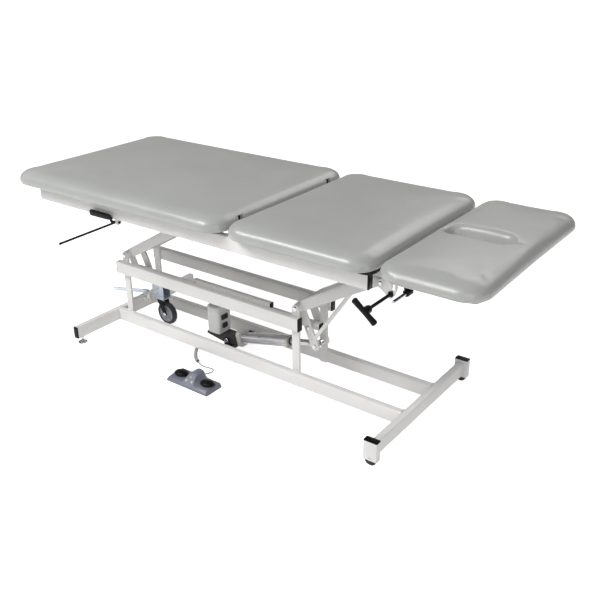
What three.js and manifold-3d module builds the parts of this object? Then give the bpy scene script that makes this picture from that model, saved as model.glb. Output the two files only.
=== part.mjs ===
// Powered three-section treatment table: base, lift linkage, top frame, cushions, caster and foot switch.
// Millimetres. +X points to the head end, +Y to the back, +Z up, the floor is Z = 0.
import * as THREE from 'three';
import Module from 'manifold-3d';
import { mergeVertices } from 'three/addons/utils/BufferGeometryUtils.js';

const wasm = await Module();
wasm.setup();

// Overall sizes
const TOP_HEIGHT = 707;
const TABLE_LENGTH = 1930;
const TABLE_WIDTH = 762;
const CUSHION_THICKNESS = 57;
const LONG_SECTION_SHARE = 104 / 193;
const CENTRE_SECTION_SHARE = 109 / 386;
const LONG_SECTION_LENGTH = TABLE_LENGTH * LONG_SECTION_SHARE;
const CENTRE_SECTION_LENGTH = TABLE_LENGTH * CENTRE_SECTION_SHARE;
const SEAM_GAP = 6;

// Clearances
const SEAT = 0.3; // between pieces that touch
const RUNNING = 0.4; // round a turning pin
const OVERRUN = 2; // how far a cut runs past the face it opens
const WELD_DISTANCE = 0.0001; // corners nearer than this are one

// Frame tube
const TUBE_WIDTH = 25.4;
const TUBE_DEPTH = 50.8;
const TUBE_WALL = 2;
const TUBE_CORNER = 4;
const CAP_THICKNESS = 3;
const CAP_PLUG = 12;
const CROSS_DEPTH = 38.1;

// Base
const BASE_TUBE_UNDERSIDE = 28;
const BASE_RAIL_SPACING = 207;
const CROSS_LEG_OFFSET = 56; // left of the left lift pivots
const CROSS_LEG_LENGTH = 668;
const CROSSBAR_OFFSET = 460; // right of the right lift pivots
const FOOT_SPACING = 632;
const FOOT_TUBE_TOP = 88;
const FOOT_TUBE_UNDERSIDE = 20;
const ROLLER_RADIUS = 22;
const ROLLER_WIDTH = 18;
const ROLLER_AXLE_RADIUS = 4;
const GLIDE_SPACING = 618;
const GLIDE_RADIUS = 19;
const GLIDE_STEM_RADIUS = 5;
const MID_RAIL_UNDERSIDE = 247;
const MID_RAIL_LEFT_REACH = 25; // past the left lift pivots
const MID_RAIL_RIGHT_REACH = 27; // past the right lift pivots
const POST_WIDTH = 32;
const POST_THICKNESS = 8;

// Lift linkage
const LIFT_PIVOT_Z = 321;
const LIFT_SPACING_SHARE = 433 / 965;
const LIFT_PIVOT_SPACING = TABLE_LENGTH * LIFT_SPACING_SHARE;
const ARM_LENGTH = 480;
const UPPER_PIVOT_DROP = 79; // below the top rails' upper face
const ARM_SPACING = 116;
const ARM_DEPTH = 38.1;
const PIVOT_TUBE_RADIUS = 17;
const PIN_RADIUS = 6;
const BOLT_HEAD_RADIUS = 10;
const BOLT_HEAD_HEIGHT = 6;
const MECHANISM_Y = -27;
const LEVER_SPACING = 62;
const LEVER_WIDTH = 32;
const LEVER_THICKNESS = 8;
const CRANK_ANGLE = THREE.MathUtils.degToRad(96); // from an arm to its lever
const LEVER_LENGTH = 156;
const TIE_PIN_DISTANCE = 83;
const TIE_BAR_SIZE = 25.4;
const TIE_BAR_OVERHANG = 31;
const BRACE_RADIUS = 7;
const BRACE_START = 132;
const BRACE_ON_ARM = 262;
const EAR_THICKNESS = 5;

// Lift actuator
const ACTUATOR_OFFSET = 356; // left of the right lift pivots
const ACTUATOR_PIVOT_Z = 76;
const GEARBOX_WIDTH = 60;
const GEARBOX_BOSS_RADIUS = 18;
const GEARBOX_REACH = 98;
const GEARBOX_HEIGHT = 24;
const MOTOR_LENGTH = 64;
const MOTOR_WIDTH = 76;
const MOTOR_HEIGHT = 116;
const COLLAR_START = 46;
const COLLAR_LENGTH = 18;
const COLLAR_WIDTH = 58;
const COLLAR_HEIGHT = 64;
const OUTER_TUBE_END = 285;
const OUTER_TUBE_WIDTH = 44;
const OUTER_TUBE_HEIGHT = 36;
const END_COLLAR_LENGTH = 10;
const ROD_RADIUS = 11;
const ROD_START = 150;
const ROD_EYE_RADIUS = 14;
const ROD_EYE_WIDTH = 16;
const BRACKET_TUBE = 25.4;
const BRACKET_EAR_THICKNESS = 6;

// Bar on the inside of the front mid rail
const INNER_BAR_LENGTH = 378;
const INNER_BAR_OFFSET = 130; // its right end, left of the right lift pivots
const INNER_BAR_HEIGHT = 285;
const INNER_BAR_Y = -54;
const INNER_BAR_SIZE = 21;
const STUB_RADIUS = 11;

// Top frame
const TOP_RAIL_SIDE_INSET = 72.2;
const TOP_RAIL_LEFT_INSET = 94;
const END_CROSS_INSET = 30;
const PAN_DEPTH = 9.4;
const PAN_WALL = 2;
const PAN_INSET = 14;
const PAN_SIDE_INSET = 46;
const PAN_CORNER = 30;

// Cushions
const CUSHION_CORNER = 72;
const CUSHION_TOP_ROUND = 25;
const CUSHION_BOTTOM_ROUND = 18;
const CUSHION_CROWN = 5;
const CUSHION_DRAW_IN = 3;
const NOSE_SLOT_LENGTH_SHARE = 22 / 37;
const NOSE_SLOT_WIDTH = 68;
const NOSE_SLOT_MARGIN_SHARE = 88 / 333;
const NOSE_SLOT_LIP = 8;

// Long section hinge
const HINGE_EAR_INSET = 131; // from the table's side
const HINGE_EAR_THICKNESS = 8;
const HINGE_EAR_RADIUS = 12;
const HINGE_DROP = 47.5;
const HINGE_POCKET_WIDTH = 34;
const HINGE_POCKET_CLEARANCE = 2.2;

// Head section hinge and clamp
const HEAD_PIVOT_INSET = 12; // left of the head cushion
const HEAD_PIVOT_DROP = 32; // below the top rails' upper face
const HEAD_CHEEK_REACH = 38.308; // from the right cross tube to the head pivot
const HEAD_CHEEK_INSET = 24.8; // from the middle of a top rail
const HEAD_CHEEK_THICKNESS = 6;
const QUADRANT_THICKNESS = 5;
const QUADRANT_BOSS_RADIUS = 13;
const CLAMP_OFFSET_X = 35;
const CLAMP_OFFSET_Z = -24;
const CLAMP_SCREW_RADIUS = 4;
const CLAMP_SLOT_MARGIN = 7;
const CLAMP_ARM_WIDTH = 12;
const CLAMP_WASHER = 2;
const HEAD_DROP_RANGE = THREE.MathUtils.degToRad(60);
const CLAMP_REACH = 432;
const CLAMP_BAR_LENGTH = 92;
const CLAMP_BAR_RADIUS = 10;
const CLAMP_BAR_TILT = THREE.MathUtils.degToRad(-38);
const CLAMP_SHAFT_RADIUS = 5;
const CLAMP_HUB_RADIUS = 12;
const CLAMP_HUB_LENGTH = 26;

// Head release bar
const RELEASE_PIVOT_OFFSET = 54; // right of the head pivot
const RELEASE_PIVOT_RISE = 14; // above the head pivot
const RELEASE_Y = -259;
const RELEASE_BAR_OFFSET = 18;
const RELEASE_BAR_DROP = 34;
const RELEASE_BAR_RADIUS = 5;
const RELEASE_BAR_LENGTH = 130;
const RELEASE_BAR_CENTRE_Y = -280;
const RELEASE_HUB_RADIUS = 11;
const RELEASE_HUB_LENGTH = 26;
const RELEASE_ARM_THICKNESS = 8;

// Long section release lever
const GRIP_INSET = 393; // from the table's left end
const GRIP_LENGTH = 108;
const GRIP_DEPTH = 24;
const GRIP_WIDTH = 14;
const GRIP_DROP = 40; // below the top rails' upper face
const GRIP_GAP = 6;
const LEVER_PIVOT_INSET = 510; // from the table's left end
const LEVER_PIVOT_DROP = 12;
const LEVER_BRACKET_THICKNESS = 5;
const ROD_TIP_REACH = 170; // past the table's front side
const ROD_TIP_DROP = 76;
const ROD_TIP_INSET = 485;
const RELEASE_ROD_RADIUS = 3;

// Drop-down caster
const CASTER_BAR_Z = 110;
const CASTER_BAR_SIZE = 20;
const CASTER_STEM_OFFSET = 102; // right of the cross bar, as the lever's pivot
const CASTER_WHEEL_RADIUS = 50;
const CASTER_WHEEL_WIDTH = 24;
const CASTER_TRAIL = 24;
const CASTER_LIFT = 12;
const FORK_GAP = 3;
const FORK_THICKNESS = 3;
const FORK_PLATE_Z = 124;
const CARRIAGE_WIDTH = 46;
const CARRIAGE_DEPTH = 56;
const CARRIAGE_WALL = 4;
const CARRIAGE_TOP = 188;
const CASTER_STEM_RADIUS = 7;
const FOOT_LEVER_REACH = 165; // left of the cross bar, as the guide
const FOOT_LEVER_LEFT_Z = 112;
const FOOT_LEVER_PIVOT_OFFSET = 50;
const FOOT_LEVER_PIVOT_Z = 154;
const FOOT_LEVER_DEPTH = 16;
const FOOT_LEVER_THICKNESS = 6;
const FOOT_LEVER_Y = -34;
const GUIDE_OFFSET = 62;
const GUIDE_PLATE_THICKNESS = 5;

// Foot switch
const SWITCH_LEFT = -264;
const SWITCH_FRONT = -326;
const SWITCH_LENGTH = 204;
const SWITCH_DEPTH = 84;
const SWITCH_TRAY_HEIGHT = 16;
const SWITCH_HUMP_HEIGHT = 44;
const SWITCH_HUMP_LENGTH = 46;
const PEDAL_LENGTH = 58;
const PEDAL_WIDTH = 46;
const PEDAL_HEIGHT = 13;
const PEDAL_GAP = 4;
const PEDAL_RIDGE_LENGTH = 24;
const PEDAL_RIDGE_DEPTH = 6;
const PEDAL_RIDGE_OFFSET = 18;
const CABLE_RADIUS = 2.4;
const SLEEVE_RADIUS = 7;
const SLEEVE_ROUTE = [
  [-314, -100, 20.7], [-308, -112, 20.6], [-297, -128, 17.5], [-283, -144, 12.5], [-268, -156, 9],
  [-254, -163, 8],
];
const CABLE_ROUTE = [
  [-253, -163.4, 8], [-246, -166, 6.6], [-236, -169, 4], [-224, -171.5, 2.8], [-208, -171.5, 2.6],
  [-190, -168.5, 2.6], [-175, -168, 2.6], [-165, -173, 2.6], [-161, -183, 2.6], [-163, -196, 2.6],
  [-165.5, -208, 4], [-166, -219, 8], [-166, -229, 11], [-166, -236, 12], [-166, -241.6, 12],
];

// Places worked out from the sizes above
const tableLeft = -TABLE_LENGTH / 2;
const tableRight = TABLE_LENGTH / 2;
const longRight = tableLeft + LONG_SECTION_LENGTH;
const centreLeft = longRight + SEAM_GAP;
const centreRight = centreLeft + CENTRE_SECTION_LENGTH;
const headLeft = centreRight + SEAM_GAP;
const cushionBottom = TOP_HEIGHT - CUSHION_THICKNESS;
const panTop = cushionBottom - SEAT;
const panBottom = panTop - PAN_DEPTH;
const railTop = panBottom - SEAT;
const headLength = tableRight - headLeft;
const noseSlotLength = headLength * NOSE_SLOT_LENGTH_SHARE;
const railCentreZ = railTop - TUBE_DEPTH / 2;
const crossCentreZ = railTop - CROSS_DEPTH / 2;
const baseTubeCentre = BASE_TUBE_UNDERSIDE + TUBE_DEPTH / 2;
const baseRailY = BASE_RAIL_SPACING / 2;
const railInnerY = baseRailY - TUBE_WIDTH / 2;
const midRailCentre = MID_RAIL_UNDERSIDE + TUBE_DEPTH / 2;
const topRailY = TABLE_WIDTH / 2 - TOP_RAIL_SIDE_INSET;
const topRailLeft = tableLeft + TOP_RAIL_LEFT_INSET;
const topRailInnerY = topRailY - TUBE_WIDTH / 2;
const topRailOuterY = topRailY + TUBE_WIDTH / 2;
const postCentreY = railInnerY - SEAT - POST_THICKNESS / 2;
const postInnerY = postCentreY - POST_THICKNESS / 2;
const headPivotX = headLeft - HEAD_PIVOT_INSET;
const headPivotZ = railTop - HEAD_PIVOT_DROP;
const headCheekY = topRailY - HEAD_CHEEK_INSET;
const upperPivotZ = railTop - UPPER_PIVOT_DROP;
const armAngle = Math.asin((upperPivotZ - LIFT_PIVOT_Z) / ARM_LENGTH);
const leverAngle = armAngle - CRANK_ANGLE;
const armRun = ARM_LENGTH * Math.cos(armAngle);
const rightPivotX = headPivotX - HEAD_CHEEK_REACH - armRun;
const leftPivotX = rightPivotX - LIFT_PIVOT_SPACING;
const crossLegX = leftPivotX - CROSS_LEG_OFFSET;
const crossbarX = rightPivotX + CROSSBAR_OFFSET;
const midRailLeft = leftPivotX - MID_RAIL_LEFT_REACH;
const midRailRight = rightPivotX + MID_RAIL_RIGHT_REACH;
const innerBarLeft = rightPivotX - INNER_BAR_OFFSET - INNER_BAR_LENGTH;
const actuatorPivotX = rightPivotX - ACTUATOR_OFFSET;
const hingeEarY = TABLE_WIDTH / 2 - HINGE_EAR_INSET;
const releasePivotX = headPivotX + RELEASE_PIVOT_OFFSET;
const releasePivotZ = headPivotZ + RELEASE_PIVOT_RISE;
const gripLeft = tableLeft + GRIP_INSET;
const gripCentreZ = railTop - GRIP_DROP;
const leverPivotX = tableLeft + LEVER_PIVOT_INSET;
const rodTipY = -TABLE_WIDTH / 2 - ROD_TIP_REACH;
const casterBarX = leftPivotX;
const casterStemX = casterBarX + CASTER_STEM_OFFSET;
const footLeverPivotX = casterBarX + FOOT_LEVER_PIVOT_OFFSET;
const armY = ARM_SPACING / 2;
const topRailRight = rightPivotX + armRun + TUBE_WIDTH / 2;
const tieOffsetX = TIE_PIN_DISTANCE * Math.cos(leverAngle);
const tieOffsetZ = TIE_PIN_DISTANCE * Math.sin(leverAngle);
const rodPinX = rightPivotX + LEVER_LENGTH * Math.cos(leverAngle);
const rodPinZ = LIFT_PIVOT_Z + LEVER_LENGTH * Math.sin(leverAngle);
const actuatorRun = rodPinX - actuatorPivotX;
const actuatorRise = rodPinZ - ACTUATOR_PIVOT_Z;
const actuatorLength = Math.hypot(actuatorRun, actuatorRise);
const actuatorAngle = Math.atan2(actuatorRise, actuatorRun);
const hingeX = longRight - CUSHION_THICKNESS / 2;
const hingeZ = cushionBottom + CUSHION_THICKNESS / 2;
const clampRadius = Math.hypot(CLAMP_OFFSET_X, CLAMP_OFFSET_Z);
const clampAngle = Math.atan2(CLAMP_OFFSET_Z, CLAMP_OFFSET_X);

// Finishes
const paint = new THREE.MeshStandardMaterial({ color: 0xe9e8e4, roughness: 0.45, metalness: 0 });
const vinyl = new THREE.MeshStandardMaterial({ color: 0xa6a8a2, roughness: 0.5, metalness: 0 });
const blackPaint = new THREE.MeshStandardMaterial({ color: 0x1c1a1b, roughness: 0.5, metalness: 0 });
const blackPlastic = new THREE.MeshStandardMaterial({ color: 0x151414, roughness: 0.45, metalness: 0 });
const steel = new THREE.MeshStandardMaterial({ color: 0xc9ccd0, roughness: 0.25, metalness: 1 });
const zinc = new THREE.MeshStandardMaterial({ color: 0xb9c4cf, roughness: 0.35, metalness: 1 });
const paleGrey = new THREE.MeshStandardMaterial({ color: 0xc4c7ca, roughness: 0.5, metalness: 0 });
const darkGrey = new THREE.MeshStandardMaterial({ color: 0x4a484b, roughness: 0.55, metalness: 0 });
const anodised = new THREE.MeshStandardMaterial({ color: 0xb0aebb, roughness: 0.35, metalness: 0.8 });
const tread = new THREE.MeshStandardMaterial({ color: 0x2b2b30, roughness: 0.7, metalness: 0 });
const switchBlue = new THREE.MeshStandardMaterial({ color: 0x5b6478, roughness: 0.5, metalness: 0 });
const cableGrey = new THREE.MeshStandardMaterial({ color: 0x77777a, roughness: 0.6, metalness: 0 });

const table = new THREE.Group();
// The pull rod reaches further forward than the table's back edge, so the box is centred on the origin
table.position.y = -(rodTipY + TABLE_WIDTH / 2) / 2;

function add(name, geometry, material, x = 0, y = 0, z = 0) {
  const mesh = new THREE.Mesh(geometry, material);
  mesh.name = name;
  mesh.position.set(x, y, z);
  table.add(mesh);
  return mesh;
}

// Solid modelling helpers

function toSolid(geometry) {
  const bare = geometry.index ? geometry.toNonIndexed() : geometry.clone();
  bare.deleteAttribute('normal');
  bare.deleteAttribute('uv');
  const merged = mergeVertices(bare, WELD_DISTANCE);
  return new wasm.Manifold(new wasm.Mesh({
    numProp: 3,
    vertProperties: new Float32Array(merged.attributes.position.array),
    triVerts: new Uint32Array(merged.index.array),
  }));
}

function toGeometry(solid) {
  const mesh = solid.getMesh();
  const geometry = new THREE.BufferGeometry();
  geometry.setAttribute('position', new THREE.BufferAttribute(new Float32Array(mesh.vertProperties), 3));
  geometry.setIndex(new THREE.BufferAttribute(new Uint32Array(mesh.triVerts), 1));
  geometry.computeVertexNormals();
  return geometry;
}

function join(...geometries) {
  return toGeometry(geometries.map(toSolid).reduce((whole, piece) => whole.add(piece)));
}

function cut(geometry, ...tools) {
  return toGeometry(tools.map(toSolid).reduce((whole, tool) => whole.subtract(tool), toSolid(geometry)));
}

function roundedRect(width, height, radius, hole) {
  const w = width / 2;
  const h = height / 2;
  const shape = hole ? new THREE.Path() : new THREE.Shape();
  shape.moveTo(w - radius, -h);
  shape.absarc(w - radius, -h + radius, radius, -Math.PI / 2, 0);
  shape.absarc(w - radius, h - radius, radius, 0, Math.PI / 2);
  shape.absarc(-w + radius, h - radius, radius, Math.PI / 2, Math.PI);
  shape.absarc(-w + radius, -h + radius, radius, Math.PI, Math.PI * 1.5);
  shape.closePath();
  return shape;
}

// Extrudes along Z, centred on the origin
function prism(shape, length, curveSegments = 1) {
  const geometry = new THREE.ExtrudeGeometry(shape, { depth: length, bevelEnabled: false, curveSegments });
  return geometry.translate(0, 0, -length / 2);
}

// The same turned to run along X or Y: a shape's x becomes Z or X, and its y becomes Y or -Z
const alongX = (geometry) => geometry.rotateY(Math.PI / 2);
const alongY = (geometry) => geometry.rotateX(-Math.PI / 2);
// A shape drawn in the XZ plane, given thickness along Y
const upright = (geometry) => geometry.rotateX(Math.PI / 2);

function tubeShape(width, depth, wall = TUBE_WALL) {
  const shape = roundedRect(width, depth, TUBE_CORNER);
  shape.holes.push(roundedRect(width - 2 * wall, depth - 2 * wall, TUBE_CORNER - wall / 2, true));
  return shape;
}

function railAlongX(length, width = TUBE_WIDTH, depth = TUBE_DEPTH) {
  return alongX(prism(tubeShape(depth, width), length));
}

function railAlongY(length, width = TUBE_WIDTH, depth = TUBE_DEPTH) {
  return alongY(prism(tubeShape(width, depth), length));
}

function bar(width, depth, height, x = 0, y = 0, z = 0) {
  return new THREE.BoxGeometry(width, depth, height).translate(x, y, z);
}

function pinAlongY(radius, length, x, y, z, sides = 12) {
  return new THREE.CylinderGeometry(radius, radius, length, sides).translate(x, y, z);
}

function pinAlongZ(radius, length, x, y, z, sides = 12) {
  return new THREE.CylinderGeometry(radius, radius, length, sides).rotateX(Math.PI / 2).translate(x, y, z);
}

function rodBetween(radius, from, to, sides = 12) {
  const start = new THREE.Vector3(...from);
  const run = new THREE.Vector3(...to).sub(start);
  const geometry = new THREE.CylinderGeometry(radius, radius, run.length(), sides);
  const turn = new THREE.Quaternion().setFromUnitVectors(new THREE.Vector3(0, 1, 0), run.clone().normalize());
  geometry.applyQuaternion(turn);
  const middle = start.addScaledVector(run, 1 / 2);
  return geometry.translate(middle.x, middle.y, middle.z);
}

// A round hole whose flats stand at the radius
function holePath(x, y, radius, sides = 12) {
  const reach = radius / Math.cos(Math.PI / sides);
  const points = Array.from({ length: sides }, (_, i) => {
    const angle = (2 * Math.PI * i) / sides;
    return new THREE.Vector2(x + reach * Math.cos(angle), y + reach * Math.sin(angle));
  });
  return new THREE.Path().setFromPoints(points);
}

// A flat bar in the XZ plane with round ends, from one point to another
function linkPlate(fromX, fromZ, toX, toZ, width, thickness, y, holes = []) {
  const length = Math.hypot(toX - fromX, toZ - fromZ);
  const r = width / 2;
  const shape = new THREE.Shape();
  shape.absarc(0, 0, r, Math.PI / 2, Math.PI * 1.5);
  shape.absarc(length, 0, r, -Math.PI / 2, Math.PI / 2);
  shape.closePath();
  for (const hole of holes) shape.holes.push(holePath(hole.at, 0, hole.radius));
  const angle = Math.atan2(toZ - fromZ, toX - fromX);
  return upright(prism(shape, thickness, 3).rotateZ(angle)).translate(fromX, y, fromZ);
}

// An ear in the XZ plane: square where it is welded on, round about its pin
function earPlate(rootZ, pinX, pinZ, width, thickness, y) {
  const r = width / 2;
  const shape = new THREE.Shape();
  const isBelow = pinZ < rootZ;
  const side = isBelow ? 1 : -1;
  shape.moveTo(side * r, rootZ);
  shape.lineTo(-side * r, rootZ);
  shape.absarc(pinX, pinZ, r, isBelow ? -Math.PI : 0, isBelow ? 0 : Math.PI, false);
  shape.closePath();
  return upright(prism(shape, thickness, 3)).translate(0, y, 0);
}

// End cap: a rounded head plate and the plug that goes into the tube, head facing +Z
function capGeometry(width, depth) {
  const head = prism(roundedRect(width, depth, TUBE_CORNER), CAP_THICKNESS);
  head.translate(0, 0, CAP_THICKNESS / 2);
  const plugWidth = width - 2 * TUBE_WALL - 2 * SEAT;
  const plugDepth = depth - 2 * TUBE_WALL - 2 * SEAT;
  const plug = prism(roundedRect(plugWidth, plugDepth, TUBE_CORNER / 2), CAP_PLUG + CAP_THICKNESS / 2);
  return join(head, plug.translate(0, 0, (CAP_THICKNESS / 2 - CAP_PLUG) / 2));
}

// Base frame

function addBase() {
  const railLeft = crossLegX + TUBE_WIDTH / 2 + SEAT;
  const railRight = crossbarX - TUBE_WIDTH / 2 - SEAT;
  const railLength = railRight - railLeft;
  const railMiddle = (railLeft + railRight) / 2;
  const midLength = midRailRight - midRailLeft;
  const midMiddle = (midRailRight + midRailLeft) / 2;
  for (const [side, sign] of [['front', -1], ['back', 1]]) {
    add(`base_rail_${side}`, railAlongX(railLength), paint, railMiddle, sign * baseRailY, baseTubeCentre);
    add(`mid_rail_${side}`, railAlongX(midLength), paint, midMiddle, sign * baseRailY, midRailCentre);
    const midCap = capGeometry(TUBE_DEPTH, TUBE_WIDTH).rotateY(Math.PI / 2);
    add(`mid_rail_cap_${side}`, midCap, blackPlastic, midRailRight + SEAT, sign * baseRailY, midRailCentre);
    addLeftFoot(side, sign);
    addRightFoot(side, sign);
    for (const [end, x] of [['left', leftPivotX], ['right', rightPivotX]]) {
      const hole = { at: LIFT_PIVOT_Z - baseTubeCentre, radius: PIN_RADIUS + RUNNING };
      const post = linkPlate(0, 0, 0, LIFT_PIVOT_Z - baseTubeCentre, POST_WIDTH, POST_THICKNESS, 0, [hole]);
      add(`post_${side}_${end}`, post, paint, x, sign * postCentreY, baseTubeCentre);
    }
  }
  add('base_cross_leg', railAlongY(CROSS_LEG_LENGTH), paint, crossLegX, 0, baseTubeCentre);
  addCrossbar();
}

function addLeftFoot(side, sign) {
  const cap = capGeometry(TUBE_WIDTH, TUBE_DEPTH).rotateX(-sign * Math.PI / 2);
  const capY = sign * (CROSS_LEG_LENGTH / 2 + SEAT);
  add(`cross_leg_cap_${side}`, cap, blackPlastic, crossLegX, capY, baseTubeCentre);
  const shoulder = GLIDE_RADIUS / 4;
  const stemTop = BASE_TUBE_UNDERSIDE - SEAT;
  const nutRadius = GLIDE_STEM_RADIUS * 2;
  const nutHeight = GLIDE_STEM_RADIUS * 1.4;
  const profile = [
    [0, 0], [GLIDE_RADIUS, 0], [GLIDE_RADIUS, shoulder], [GLIDE_STEM_RADIUS * 2, shoulder * 2],
    [GLIDE_STEM_RADIUS, shoulder * 2], [GLIDE_STEM_RADIUS, stemTop - nutHeight],
    [nutRadius, stemTop - nutHeight], [nutRadius, stemTop], [0, stemTop],
  ].map(([r, z]) => new THREE.Vector2(r, z));
  const glide = new THREE.LatheGeometry(profile, 14).rotateX(Math.PI / 2);
  add(`levelling_glide_${side}`, glide, steel, crossLegX, sign * GLIDE_SPACING / 2, 0);
}

// Crossbar with a short upright tube welded on each end, each open below for its roller
function addCrossbar() {
  const footY = FOOT_SPACING / 2;
  const footHeight = FOOT_TUBE_TOP - FOOT_TUBE_UNDERSIDE;
  const foot = () => prism(tubeShape(TUBE_DEPTH, TUBE_WIDTH), footHeight)
    .translate(0, 0, FOOT_TUBE_UNDERSIDE + footHeight / 2 - baseTubeCentre);
  const crossLength = FOOT_SPACING - TUBE_WIDTH + TUBE_WALL;
  const boreLength = FOOT_SPACING - TUBE_WIDTH + 3 * TUBE_WALL;
  const boreShape = roundedRect(TUBE_WIDTH - 2 * TUBE_WALL, TUBE_DEPTH - 2 * TUBE_WALL,
    TUBE_CORNER - TUBE_WALL / 2);
  let whole = toSolid(alongY(prism(roundedRect(TUBE_WIDTH, TUBE_DEPTH, TUBE_CORNER), crossLength)));
  for (const sign of [-1, 1]) whole = whole.add(toSolid(foot().translate(0, sign * footY, 0)));
  whole = whole.subtract(toSolid(alongY(prism(boreShape, boreLength))));
  for (const sign of [-1, 1]) {
    const axleZ = ROLLER_RADIUS - baseTubeCentre;
    const axle = pinAlongY(ROLLER_AXLE_RADIUS, TUBE_WIDTH - SEAT, 0, sign * footY, axleZ, 12);
    whole = whole.add(toSolid(axle));
  }
  add('base_crossbar', toGeometry(whole), paint, crossbarX, 0, baseTubeCentre);
}

function addRightFoot(side, sign) {
  const footY = sign * FOOT_SPACING / 2;
  const cap = capGeometry(TUBE_DEPTH, TUBE_WIDTH);
  add(`foot_cap_${side}`, cap, blackPlastic, crossbarX, footY, FOOT_TUBE_TOP + SEAT);
  const edge = ROLLER_RADIUS / 8;
  const half = ROLLER_WIDTH / 2;
  const bore = ROLLER_AXLE_RADIUS + RUNNING;
  const profile = [
    [bore, -half], [ROLLER_RADIUS - edge, -half], [ROLLER_RADIUS, -half + edge],
    [ROLLER_RADIUS, half - edge], [ROLLER_RADIUS - edge, half], [bore, half], [bore, -half],
  ].map(([r, y]) => new THREE.Vector2(r, y));
  add(`roller_${side}`, new THREE.LatheGeometry(profile, 22), tread, crossbarX, footY, ROLLER_RADIUS);
}

// Square bar carried on a round stub from the front mid rail, open to view between the rails
function addInnerBar() {
  const stubFront = -railInnerY + SEAT;
  const length = INNER_BAR_LENGTH;
  const stubLength = INNER_BAR_Y - stubFront;
  const stub = pinAlongY(STUB_RADIUS, stubLength, 0, -stubLength / 2, 0, 12);
  const square = alongX(prism(roundedRect(INNER_BAR_SIZE, INNER_BAR_SIZE, TUBE_CORNER), length));
  const whole = join(stub, square.translate(length / 2 - STUB_RADIUS / 2, 0, 0));
  add('inner_bar', whole, paint, innerBarLeft, INNER_BAR_Y, INNER_BAR_HEIGHT);
}

// Lift linkage

function liftArm() {
  const start = PIVOT_TUBE_RADIUS + SEAT;
  const end = ARM_LENGTH;
  const tube = railAlongX(end - start, TUBE_WIDTH, ARM_DEPTH).translate((start + end) / 2, 0, 0);
  const eye = pinAlongY(PIVOT_TUBE_RADIUS, TUBE_WIDTH, ARM_LENGTH, 0, 0, 16);
  const whole = cut(join(tube, eye), pinAlongY(PIN_RADIUS + RUNNING, TUBE_WIDTH + OVERRUN, ARM_LENGTH, 0, 0));
  const tip = bar(TUBE_DEPTH, TUBE_WIDTH + OVERRUN, ARM_DEPTH + OVERRUN, ARM_LENGTH + TUBE_DEPTH / 2, 0, 0);
  const round = pinAlongY(ARM_DEPTH, TUBE_WIDTH + 2 * OVERRUN, ARM_LENGTH - TUBE_DEPTH / 2, 0, 0, 28);
  return cut(whole, cut(tip, round)).rotateY(-armAngle);
}

// Pivot tube with two lever plates, a bolt through the frame's ears at each end, and a pin for the tie bar
function crank(isDriven) {
  const tubeLength = 2 * (postInnerY - SEAT);
  const boltLength = 2 * (postCentreY + POST_THICKNESS / 2 + SEAT + BOLT_HEAD_HEIGHT);
  const reach = isDriven ? LEVER_LENGTH : TIE_PIN_DISTANCE;
  const toX = reach * Math.cos(leverAngle);
  const toZ = reach * Math.sin(leverAngle);
  const pieces = [
    pinAlongY(PIVOT_TUBE_RADIUS, tubeLength, 0, 0, 0, 16),
    pinAlongY(PIN_RADIUS, boltLength, 0, 0, 0, 12),
  ];
  for (const sign of [-1, 1]) {
    const headY = sign * (boltLength / 2 - BOLT_HEAD_HEIGHT / 2);
    pieces.push(pinAlongY(BOLT_HEAD_RADIUS, BOLT_HEAD_HEIGHT, 0, headY, 0, 12));
    const plateY = MECHANISM_Y + sign * LEVER_SPACING / 2;
    pieces.push(linkPlate(0, 0, toX, toZ, LEVER_WIDTH, LEVER_THICKNESS, plateY));
    if (isDriven) {
      const rodBolt = LEVER_THICKNESS + 2 * BOLT_HEAD_HEIGHT;
      pieces.push(pinAlongY(BOLT_HEAD_RADIUS, rodBolt, toX, plateY, toZ, 12));
    }
  }
  const pinLength = LEVER_SPACING + LEVER_THICKNESS + BOLT_HEAD_HEIGHT;
  pieces.push(pinAlongY(PIN_RADIUS, pinLength, tieOffsetX, MECHANISM_Y, tieOffsetZ, 12));
  if (!isDriven) return join(...pieces);
  const frontLeverY = MECHANISM_Y - LEVER_SPACING / 2;
  const braceX = BRACE_START * Math.cos(leverAngle);
  const braceZ = BRACE_START * Math.sin(leverAngle);
  const armX = BRACE_ON_ARM * Math.cos(armAngle);
  const armZ = BRACE_ON_ARM * Math.sin(armAngle);
  pieces.push(rodBetween(BRACE_RADIUS, [braceX, frontLeverY, braceZ], [armX, frontLeverY, armZ]));
  const envelope = bar(ARM_LENGTH, TUBE_WIDTH + 2 * SEAT, ARM_DEPTH + 2 * SEAT, ARM_LENGTH / 2, 0, 0);
  envelope.translate(PIVOT_TUBE_RADIUS + SEAT / 2, -armY, 0);
  return cut(join(...pieces), envelope.rotateY(-armAngle));
}

function addLift() {
  for (const [end, x] of [['right', rightPivotX], ['left', leftPivotX]]) {
    add(`crank_${end}`, crank(end === 'right'), paint, x, 0, LIFT_PIVOT_Z);
    add(`arm_${end}_front`, liftArm(), paint, x, -armY, LIFT_PIVOT_Z);
    add(`arm_${end}_back`, liftArm(), paint, x, armY, LIFT_PIVOT_Z);
  }
  addTieBar();
}

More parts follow.
